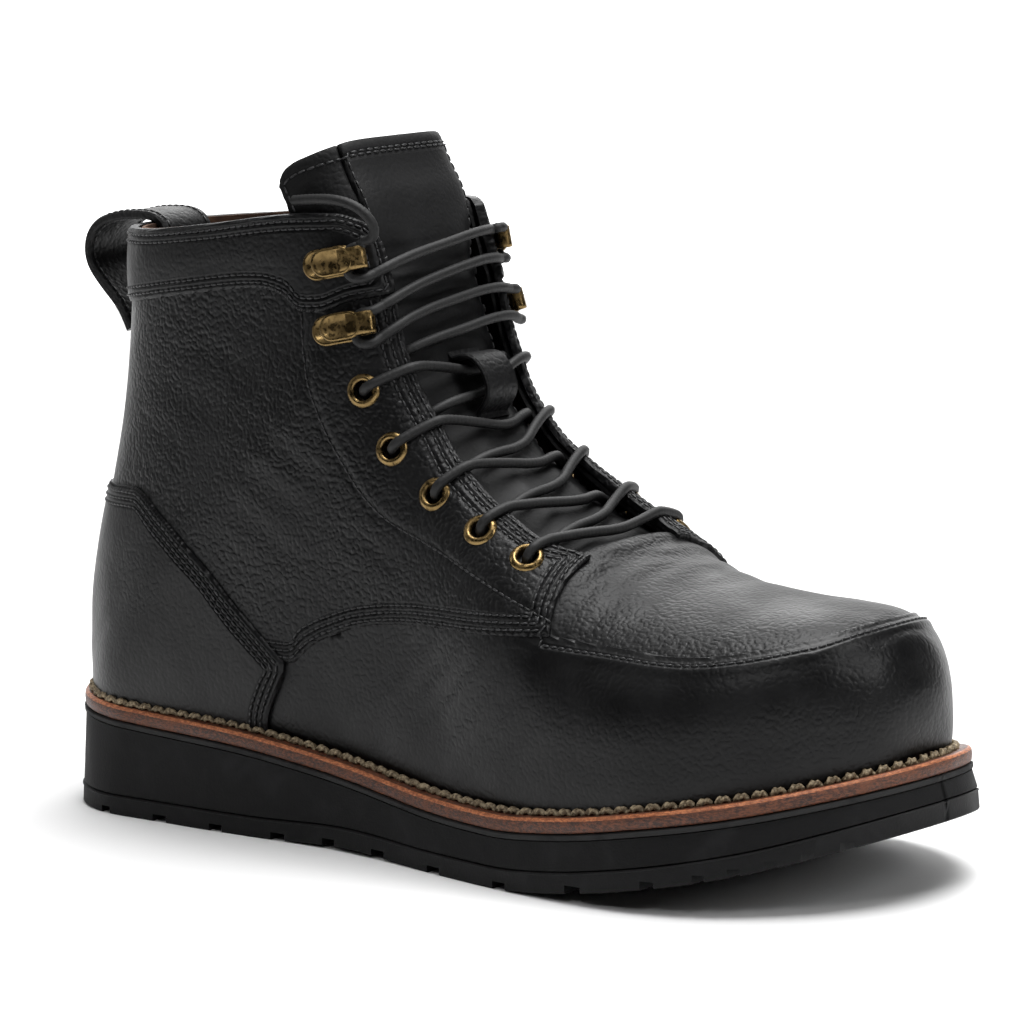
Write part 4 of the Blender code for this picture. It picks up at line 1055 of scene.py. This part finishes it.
def build_welt_stitches():
    """Twisted linen thread that shows in the corner between the welt and the upper."""
    line = [rim(a, side, FLARE + max(float(margin(a)) + 0.2 * MM, 1.9 * MM), welt_top, 0.35 * MM)
            for a, side in outline()]
    places, along = even_points(line + line[:1], WELT_STITCH)
    rng = np.random.default_rng(4)
    upward = np.array((0.0, 0.0, 1.0))
    tilt = np.cross(upward, along)
    along = along + tilt * rng.normal(0.12, 0.05, (len(along), 1)) + upward * rng.normal(
        0.0, 0.05, (len(along), 1))
    along /= np.linalg.norm(along, axis=1, keepdims=True)
    shape = strand(4.4 * MM, 0.95 * MM, rings=22, sides=16, arch=0.7 * MM, twist=6.0, depth=0.28)
    out = np.tile(upward, (len(places), 1))
    stitches = scatter('welt_stitches', shape, places, along, out, 'welt_thread')
    dress(stitches, 'brown_welt_leather')


# Upper

def least(*fields):
    """The lowest of several fields at each point."""
    lowest = fields[0]
    for field in fields[1:]:
        lowest = np.minimum(lowest, field)
    return lowest


def build_upper():
    behind_quarter = np.clip((0.02 + AHEAD_QUARTER) / 0.02, 0, 1)
    roll = 0.55 * MM * np.exp(-((ABOVE_RIDGE + 4.4 * MM) / (1.5 * MM)) ** 2)
    roll = roll - 0.35 * MM * np.exp(-((ABOVE_RIDGE + 2.0 * MM) / (0.8 * MM)) ** 2)
    region = least(-ABOVE_RIDGE, ABOVE_WELT, AHEAD_COUNTER + 3 * MM)
    edge = np.where(AHEAD_QUARTER > -3 * MM, -ABOVE_RIDGE, INSIDE_END)
    _, wall = sheet('vamp_wall_finished', ['vamp_wall'], region, CREASE + roll * behind_quarter, -1.35 * MM,
                    edge, 'wall')
    edge = least(ABOVE_QUARTER, -AHEAD_QUARTER, BESIDE_FACING)
    region = least(edge, OVERLAP - ABOVE_CUFF, np.maximum(ABOVE_COUNTER, AHEAD_COUNTER) + OVERLAP, ABOVE_WELT,
                   HOLES - HOLE_RADIUS)
    stay = 0.35 * MM * np.clip((BEHIND_EYESTAY + MM) / (3 * MM), 0, 1)
    stay = np.where(NUMBER[:, None] > 8, stay - 0.45 * MM * np.exp(-(BEHIND_EYESTAY / (0.7 * MM)) ** 2), 0)
    _, quarter = sheet('quarters_finished', ['quarters'], region, QUARTER - VAMP + CREASE + stay,
                       PANEL_BACK, edge, 'quarter', extra=BEHIND_EYESTAY)
    _, counter = sheet('counter_finished', ['counter'], least(INSIDE_COUNTER, ABOVE_WELT),
                       COUNTER - VAMP + 0.4 * MM, PANEL_BACK, INSIDE_COUNTER, 'counter')
    edge = least(ABOVE_CUFF, BESIDE_FACING, -ABOVE_COLLAR)
    puff = 0.5 * MM * np.clip(least(ABOVE_CUFF, -ABOVE_COLLAR) / (9 * MM), 0, 1)
    _, cuff = sheet('collar_band_finished', ['collar_band'], edge, CUFF - VAMP + 0.3 * MM + puff,
                    PANEL_BACK, edge, 'cuff')
    region = least(ABOVE_RIDGE + OVERLAP, np.maximum(BESIDE_FACING - MM, BEFORE_THROAT),
                   (10.5 - NUMBER)[:, None] * SECTION_STEP, ABOVE_QUARTER + 6 * MM)
    sheet('apron_finished', [], region, CREASE - 0.7 * MM, -2.3 * MM, region, 'apron')
    region = least(ABOVE_WELT, -ABOVE_COLLAR, np.maximum(BESIDE_FACING - 0.8 * MM, BEFORE_THROAT),
                   HOLES - HOLE_RADIUS)
    lining, face = sheet('lining_finished', ['upper'], region, np.minimum(CREASE, 0) - 1.7 * MM, -3.2 * MM,
                         -ABOVE_COLLAR, 'lining', step=2, extra=BESIDE_FACING, slot='brown_lining_leather')
    # Near black painted shade on the lining inside the throat, by the facings
    paint_throat_shade(lining, *face)
    build_seams({'wall': wall, 'quarter': quarter, 'counter': counter, 'cuff': cuff})


def paint_throat_shade(lining, data, faces):
    """Lining faces within 26 mm of the facings, inside the throat, take the near black gusset finish as
    painted shade; the rest of the shaft keeps the brown lining.
    """
    lining.data.materials.append(FINISH['gusset_and_throat_shade'])
    near = data[:, EXTRA] < 26 * MM
    top = near[faces].all(axis=1)
    sides = list(lining.data.polygons)[2 * len(faces):]
    rest = [all(near[v % len(data)] for v in face.vertices) for face in sides]
    lining.data.polygons.foreach_set('material_index', np.concatenate((top, top, rest)).astype(np.int32))


def build_seams(panels):
    """Sewn rows, each at its distance in from the edge that it holds, and the eyestay's line."""
    lines = []
    for finish, face in panels.items():
        for distance in SEAM_ROWS[finish]:
            for points, normals in iso_lines(face, face[0][:, EDGE] - distance * MM):
                seen = np.arange(len(points))
                if finish == 'wall':
                    # The quarters hide the rest of this row
                    seen = np.flatnonzero(share(points[:, 0]) > 0.655)
                if len(seen) >= 8 or finish != 'wall':
                    lines.append((points[seen[0]:seen[-1] + 1], normals[seen[0]:seen[-1] + 1]))
    stay = panels['quarter']
    for points, normals in iso_lines(stay, stay[0][:, EXTRA]):
        seen = points[:, 2] < curve(CUFF_LOW, 1, share(points[:, 0])) * SHAFT_HEIGHT
        lines.append((points[seen], normals[seen]))
    pitch = bpy.context.scene.boot.stitch_pitch
    stitch_rows('seams', lines, pitch, 0.86 * pitch, 0.33 * MM)


def build_back_strip():
    low, high = COUNTER_TOP[1][1] * SHAFT_HEIGHT - 2 * MM, LOOP[0][1] * SHAFT_HEIGHT + 6 * MM
    region = least(BACK_STRIP_WIDTH / 2 - np.abs(Y - float(sway(0.0))), Z - low, high - Z, place(0.25) - X)
    sheet('back_strip_finished', ['back_strip'], region, QUARTER - VAMP + 1.4 * MM, 0.3 * MM, region, 'strap')


# Tongue, keeper and pull loop

def smooth_steps(low, high, value):
    t = np.clip((value - low) / (high - low), 0, 1)
    return t * t * (3 - 2 * t)


def tongue_height():
    """The tongue's face: padded in the middle, down by the facings, close to the shaft above."""
    arc, number = np.abs(ARC), NUMBER[:, None]
    dip = smooth_steps(7 * MM, 19 * MM, arc) * smooth_steps(8.5, 10.5, number)
    dip = dip * (1 - smooth_steps(21, 24.5, number))
    wave = 0.35 * MM * np.sin(number * 4.1 + np.sin(arc / MM / 7) * 1.4) * smooth_steps(9, 11, number)
    seams = 0.6 * MM * np.exp(-((arc - TONGUE_SEAM * MM) / (0.9 * MM)) ** 2)
    return -3.4 * MM - 3.0 * MM * dip + wave * (1 - smooth_steps(20, 23, number)) - seams


def build_tongue():
    arc, number = np.abs(ARC), NUMBER[:, None]
    reach = curve(TONGUE_REACH, 1, number) * MM
    end = curve(TONGUE_END, 1, arc / MM)
    whole = least(reach - arc, (end - number) * 10 * MM, (number - 7.6) * 12 * MM)
    height = tongue_height()
    middle = TONGUE_SEAM * MM - arc
    _, face = sheet('tongue_finished', ['tongue'], least(whole, middle), height, height - 2.2 * MM, whole,
                    'tongue', turn=1.1 * MM)
    _, sides = sheet('tongue_sides', [], least(whole, -middle), height, height - 2.2 * MM, whole, 'gusset_and_throat_shade',
                     turn=1.1 * MM)
    lines = iso_lines(face, face[0][:, INSIDE] - 2.0 * MM)
    for part in (face, sides):
        lines += iso_lines(part, part[0][:, EDGE] - SEAM_ROWS['tongue'][0] * MM)
    lines = [line for line in lines if line[0][:, 2].max() > SHAFT_HEIGHT * 0.9]
    stitch_rows('tongue_seams', lines, 2.9 * MM, 2.3 * MM, 0.35 * MM)


def build_keeper():
    low, high = on_form(KEEPER_SECTION - 1, 0, 0)[0], on_form(KEEPER_SECTION + 1, 0, 0)[0]
    along = (high - low) * (1, 0, 1)
    along /= np.linalg.norm(along)
    out = np.cross((0.0, 1.0, 0.0), along)
    out *= math.copysign(1.0, out[0])
    middle = on_form(KEEPER_SECTION, 0, -2.4 * MM)[0]
    line = smooth_line([middle + (along * step + out * rise) * MM for step, rise in KEEPER_LINE], 0.5 * MM)
    points, faces, _ = strap_shape(line, KEEPER_WIDTH, 1.7 * MM, (0, -1, 0))
    dress(add_mesh('keeper_finished', points, faces, 'strap'), 'black_leather', 'lace_keeper')


def build_pull_loop():
    middle = float(sway(0.0))
    line = smooth_line([(float(place(a)), middle, r * SHAFT_HEIGHT) for a, r in LOOP], 0.8 * MM)
    points, faces, outs = strap_shape(line, STRAP_WIDTH, STRAP + 0.3 * MM, (0, 1, 0))
    dress(add_mesh('pull_loop_finished', points, faces, 'strap'), 'black_leather', 'pull_loop')
    lines = []
    for side in (-1, 1):
        for face in (-1, 1):
            across = np.array((0, side * (STRAP_WIDTH / 2 - 2.2 * MM), 0))
            lines.append((line + across + outs * face * (STRAP / 2 + 0.15 * MM), outs * face))
    stitch_rows('pull_loop_seams', lines, 2.6 * MM, 2.2 * MM, 0.32 * MM)


# Eyelets, hooks and lace

def eyelet_shape():
    """Ring rolled out of sheet brass, with its barrel through the leather."""
    bore, radius = EYELET_BORE, EYELET_RADIUS
    return lathe([(bore, -3.6 * MM), (bore, 0.35 * MM), (bore + 0.25 * MM, 0.85 * MM),
                  (bore + 0.7 * MM, 1.12 * MM), (bore + 1.2 * MM, 1.1 * MM), (radius - 0.45 * MM, 0.72 * MM),
                  (radius - 0.1 * MM, 0.36 * MM), (radius, 0.1 * MM), (radius - 0.15 * MM, -0.05 * MM),
                  (bore + 0.4 * MM, -0.05 * MM), (bore + 0.4 * MM, -3.6 * MM)])


def hook_shape():
    """Base plate and top plate, with the neck that the lace goes behind."""
    height = HOOK_HEIGHT / MM
    base = oval(HOOK_BASE, HOOK_WIDTH, MM * np.array((
        (0.5, 0.0), (0.1, 0.1), (0.0, 0.3), (0.0, 0.6), (0.3, 0.9), (0.8, 0.9), (1.05, 0.65))))
    base[0][:, 0] += HOOK_BACK + HOOK_BASE / 2
    top = oval(HOOK_TOP, HOOK_WIDTH - 0.8 * MM, MM * np.array((
        (0.5, height - 1.0), (0.05, height - 0.85), (0.0, height - 0.35), (0.3, height),
        (0.75, height + 0.02), (1.0, height - 0.2))))
    top[0][:, 0] += HOOK_BACK + HOOK_SET_BACK + HOOK_TOP / 2
    radius = (HOOK_HEIGHT - 0.9 * MM) / 2
    front = HOOK_BACK + HOOK_SET_BACK + HOOK_TOP + 0.6 * MM
    turns = np.radians(np.linspace(-90, 90, 9))
    neck = [(front + 1.2 * radius * math.cos(t), 0, HOOK_HEIGHT / 2 + radius * math.sin(t)) for t in turns]
    neck = [(front - 5 * MM, 0, 0.5 * MM)] + neck + [(front - 5 * MM, 0, HOOK_HEIGHT - 0.45 * MM)]
    neck = strap_shape(smooth_line(neck, 0.3 * MM, 2), 6.4 * MM, 0.9 * MM, (0, 1, 0), steps=7)
    return join((base, top, neck))


def build_hardware():
    tilt = math.radians(HOOK_TILT)
    for part, (points, faces), seats in (('eyelet', eyelet_shape(), EYELET_SEATS),
                                         ('hook', hook_shape(), HOOK_SEATS)):
        for (side, number), (middle, axes) in seats.items():
            if part == 'hook':
                forward = axes[0] * math.cos(tilt) - side * axes[1] * math.sin(tilt)
                axes = np.stack((forward, np.cross(axes[2], forward), axes[2]))
            node_name = f'{part}_{dict(SIDES)[side]}_{number}'
            piece = add_mesh(f'{node_name}_finished', points @ axes + middle, faces, 'brass', sharp=50)
            clean(piece, 50)
            dress(piece, 'antique_brass', node_name)


def facing_arc(number, side):
    """Distance from the front line to the edge of a facing."""
    half = float(curve(NEAR_FACING if side < 0 else FAR_FACING, 1, number)) * BALL_WIDTH
    arcs = np.linspace(0, 45 * MM, 46)
    centre = float(np.interp(number, NUMBER[CAP_ROWS:], CENTRE[CAP_ROWS:, 0]))
    across = [abs(on_form(number, side * arc, 0)[0][1] - centre) for arc in arcs]
    return float(np.interp(half, across, arcs))


def lace_side(start, middle, way, side):
    """Points from an eyelet or hook to the front line, over a facing's edge or under it."""
    number, arc = start
    edge = facing_arc(number, side) / MM
    reach = abs(arc) / MM
    # Distance from the front line and height over the form, in millimetres
    steps = {
        'hook': ((reach - 2.5, 2.8), ((reach + edge) / 2, 2.7), (edge + 1.0, 2.2), (edge - 3.5, 0.9),
                 (edge * 0.5, -0.4)),
        'over': ((reach + 0.6, -2.4), (reach, 0.9), (reach - 2.0, 2.6), (reach - 4.4, 2.6), (edge + 2.5, 2.2),
                 (edge - 0.5, 1.7), (edge - 4.0, 0.6), (edge * 0.5, -0.4)),
        'under': ((reach, -2.6), (reach - 1.5, -4.6), (edge + 2.0, -4.9), (edge - 1.0, -4.4),
                  (edge - 5.0, -2.9), (edge * 0.5, -1.3)),
    }[way]
    points = []
    for out, lift in steps:
        section = number + (middle - number) * max(1 - out / reach, 0.0)
        points.append(on_form(section, side * out * MM, lift * MM)[0])
    return points


def build_lace():
    order = [('eyelet', side, number) for number in range(len(EYELETS), 0, -1) for side in (1, -1)]
    order += [('hook', side, number) for number in range(len(HOOKS), 0, -1) for side in (1, -1)]
    front, bend = HOOK_LENGTH / 2 + 2.2 * MM, HOOK_LENGTH / 2 - 2.0 * MM
    legs = {}
    for kind, side, number in order:
        middle, axes = (EYELET_SEATS if kind == 'eyelet' else HOOK_SEATS)[side, number]
        legs[kind, side, number] = [middle]
        if kind == 'hook':
            flat = ((front, -4.6), (bend, -4.2), (bend - MM, 0.0), (bend, 4.2), (front, 4.6))
            legs[kind, side, number] = [np.array((f, -side * u * MM, HOOK_HEIGHT / 2)) @ axes + middle
                                        for f, u in flat]
    route = []
    for k, (before, after) in enumerate(zip(order, order[1:])):
        bar = before[2] == after[2] and before[0] == after[0]
        halves = []
        for end, leg in ((before, -1), (after, 0)):
            way = 'over' if k == 0 or end[1] == (-1 if bar else 1) else 'under'
            way = 'hook' if end[0] == 'hook' else way
            halves.append(lace_side(find(legs[end][leg]), LACE_FRONT[k], way, end[1]))
        route += halves[0] + [on_form(LACE_FRONT[k], 0, -0.8 * MM)[0]] + halves[1][::-1]
        if after[0] == 'hook':
            route += legs[after]
    end = np.array(LACE_END) - np.array((LENGTH / 2, 0, 0))
    route += [end[0] - (end[1] - end[0]) / np.linalg.norm(end[1] - end[0]) * LACE_GAP]
    for name, node_name, way in (('lace_finished', 'lace', route), ('lace_end_finished', 'lace_end', end)):
        line = smooth_line(way, 0.55 * MM, 2)
        piece = add_mesh(name, *braided_cord(line, LACE / 2), 'lace', sharp=80)
        dress(piece, 'black_waxed_cord', node_name)


# Settings and operators

def colour(name, description, default):
    """Setting for a colour, as an sRGB hex code."""
    return bpy.props.StringProperty(name=name, description=description, default=default)


class BootSettings(bpy.types.PropertyGroup):
    """Sizes and colours of the boot's finish."""
    stitch_pitch: bpy.props.FloatProperty(
        name="Stitch pitch", description="Length of one stitch of the seams", default=2.5 * MM, unit='LENGTH')
    leather: colour("Leather", "Colour of the black leather", '#09090a')
    lining: colour("Lining", "Colour of the shaft's lining", '#6b4a33')
    welt: colour("Welt", "Colour of the welt's cut edge", '#6d3c22')
    welt_thread: colour("Welt thread", "Colour of the thread of the welt", '#a8977a')
    seam_thread: colour("Seam thread", "Colour of the thread of the panels", '#2c2c2e')
    lace: colour("Lace", "Colour of the waxed lace", '#0c0c0d')


class BOOT_OT_finishes(bpy.types.Operator):
    """Make the boot's materials"""
    bl_idname = "boot.finishes"
    bl_label = "Finishes"

    def execute(self, context):
        boot = context.scene.boot
        for finish, name, worn, grain, wrinkle, roughness in LEATHERS:
            FINISH[finish] = full_grain_leather(name, boot.leather, worn, grain, wrinkle, roughness,
                                                SEAM_ROWS.get(finish, ()))
        # Near black leather of the tongue's sides, also put on the lining inside the throat as painted shade
        FINISH['gusset_and_throat_shade'] = full_grain_leather('gusset_leather_and_throat_shade', '#070708', '#0a0a0b', 0.10, 0.3, 0.60, ())
        FINISH['lining'] = suede_lining('lining_leather', boot.lining)
        FINISH['tread'] = wedge_rubber('tread_rubber', '#0d0d0e', 0.62)
        FINISH['wedge'] = wedge_rubber('wedge_rubber', '#0a0a0b', 0.66)
        FINISH['midsole'] = wedge_rubber('midsole_rubber', '#2a2a2a', 0.7)
        FINISH['welt'] = stacked_welt('welt_edge', boot.welt, '#2a150d', 1.0)
        # Lighter copper copy of the welt leather for the bevel: a painted highlight
        FINISH['welt_bevel_painted_highlight'] = stacked_welt('welt_bevel_painted_highlight', '#c67c50', '#85492b', 0.4)
        FINISH['brass'] = antique_brass('antique_brass')
        FINISH['thread'] = waxed_thread('seam_thread', boot.seam_thread, '#0b0b0b', 0.45)
        FINISH['welt_thread'] = waxed_thread('welt_thread', boot.welt_thread, '#5f503a', 0.6)
        FINISH['lace'] = waxed_thread('waxed_lace', boot.lace, '#020202', 0.62)
        return {'FINISHED'}


class BOOT_OT_sole(bpy.types.Operator):
    """Build the tread, wedge, midsole, welt and insole"""
    bl_idname = "boot.sole"
    bl_label = "Sole and welt"

    def execute(self, context):
        build_sole()
        build_welt_stitches()
        return {'FINISHED'}


class BOOT_OT_upper(bpy.types.Operator):
    """Build the leather panels and their seams"""
    bl_idname = "boot.upper"
    bl_label = "Upper"

    def execute(self, context):
        build_upper()
        return {'FINISHED'}


class BOOT_OT_tongue(bpy.types.Operator):
    """Build the tongue, the lace keeper, the pull loop and its strip"""
    bl_idname = "boot.tongue"
    bl_label = "Tongue and straps"

    def execute(self, context):
        build_tongue()
        build_keeper()
        build_pull_loop()
        build_back_strip()
        return {'FINISHED'}


class BOOT_OT_lacing(bpy.types.Operator):
    """Build the eyelets, the hooks and the lace"""
    bl_idname = "boot.lacing"
    bl_label = "Lacing"

    def execute(self, context):
        build_hardware()
        build_lace()
        return {'FINISHED'}


class BOOT_OT_stage(bpy.types.Operator):
    """Set the camera, the floor and the light"""
    bl_idname = "boot.stage"
    bl_label = "Stage"

    def execute(self, context):
        build_stage()
        return {'FINISHED'}


def build_stage():
    turn, rise, roll = (math.radians(v) for v in (VIEW_TURN, VIEW_RISE, VIEW_ROLL))
    back = Vector((math.sin(turn) * math.cos(rise), -math.cos(turn) * math.cos(rise), math.sin(rise)))
    right = Vector((math.cos(turn), math.sin(turn), 0))
    up = back.cross(right)
    side = right * math.cos(roll) + up * math.sin(roll)
    top = -right * math.sin(roll) + up * math.cos(roll)
    scene = bpy.context.scene
    lens = bpy.data.cameras.new('camera')
    lens.lens = VIEW_LENS
    lens.sensor_width = 36
    camera = bpy.data.objects.new('camera', lens)
    camera.matrix_world = Matrix.Translation(VIEW_TARGET + back * VIEW_DISTANCE) @ Matrix(
        (side, top, back)).transposed().to_4x4()
    scene.collection.objects.link(camera)
    scene.camera = camera
    mesh = bpy.data.meshes.new('floor')
    mesh.from_pydata([(x * FLOOR_HALF, y * FLOOR_HALF, 0) for x, y in ((-1, -1), (1, -1), (1, 1), (-1, 1))],
                     [], [(0, 1, 2, 3)])
    paper, tree, surface, _ = start_material('studio_floor')
    fill(tree, surface, {'Base Color': linear('#f4f4f4'), 'Roughness': 0.9})
    mesh.materials.append(paper)
    floor = bpy.data.objects.new('floor', mesh)
    scene.collection.objects.link(floor)
    scene.view_settings.view_transform = 'Standard'
    scene.world = bpy.data.worlds.new('studio')
    scene.world.use_nodes = True
    tree = scene.world.node_tree
    where = node(tree, 'ShaderNodeTexCoord', output='Generated')
    behind = node(tree, 'ShaderNodeVectorMath', (where, tuple(-back)), 'Value', operation='DOT_PRODUCT')
    over = node(tree, 'ShaderNodeSeparateXYZ', (where,), 'Z')
    glow = node(tree, RANGE, (behind, *GLOW_BEHIND), **SMOOTH)
    glow = node(tree, MATH, (glow, node(tree, RANGE, (over, *GLOW_OVER), **SMOOTH)), operation='ADD')
    fill(tree, tree.nodes['Background'], {'Strength': glow, 'Color': (1.0, 1.0, 1.0, 1.0)})
    for name, spot, size, power in LAMPS:
        lamp = bpy.data.lights.new(name, 'AREA')
        lamp.shape = 'RECTANGLE'
        lamp.size, lamp.size_y = size
        lamp.energy = power
        light = bpy.data.objects.new(name, lamp)
        light.location = spot
        light.rotation_euler = (LAMP_TARGET - Vector(spot)).to_track_quat('-Z', 'Y').to_euler()
        scene.collection.objects.link(light)


class BOOT_PT_panel(bpy.types.Panel):
    """List the steps that build the boot"""
    bl_idname = "BOOT_PT_panel"
    bl_label = "Work boot"
    bl_space_type = 'VIEW_3D'
    bl_region_type = 'UI'
    bl_category = "Boot"

    def draw(self, context):
        for step in STEPS:
            self.layout.operator(step.bl_idname)


STEPS = (BOOT_OT_stage, BOOT_OT_finishes, BOOT_OT_sole, BOOT_OT_upper, BOOT_OT_tongue, BOOT_OT_lacing)
CLASSES = (BootSettings, *STEPS, BOOT_PT_panel)


def register():
    for made in CLASSES:
        bpy.utils.register_class(made)
    bpy.types.Scene.boot = bpy.props.PointerProperty(type=BootSettings)


def unregister():
    del bpy.types.Scene.boot
    for made in reversed(CLASSES):
        bpy.utils.unregister_class(made)


def main():
    register()
    bpy.ops.boot.stage()
    bpy.ops.boot.finishes()
    bpy.ops.boot.sole()
    bpy.ops.boot.upper()
    bpy.ops.boot.tongue()
    bpy.ops.boot.lacing()


if __name__ == "__main__":
    main()
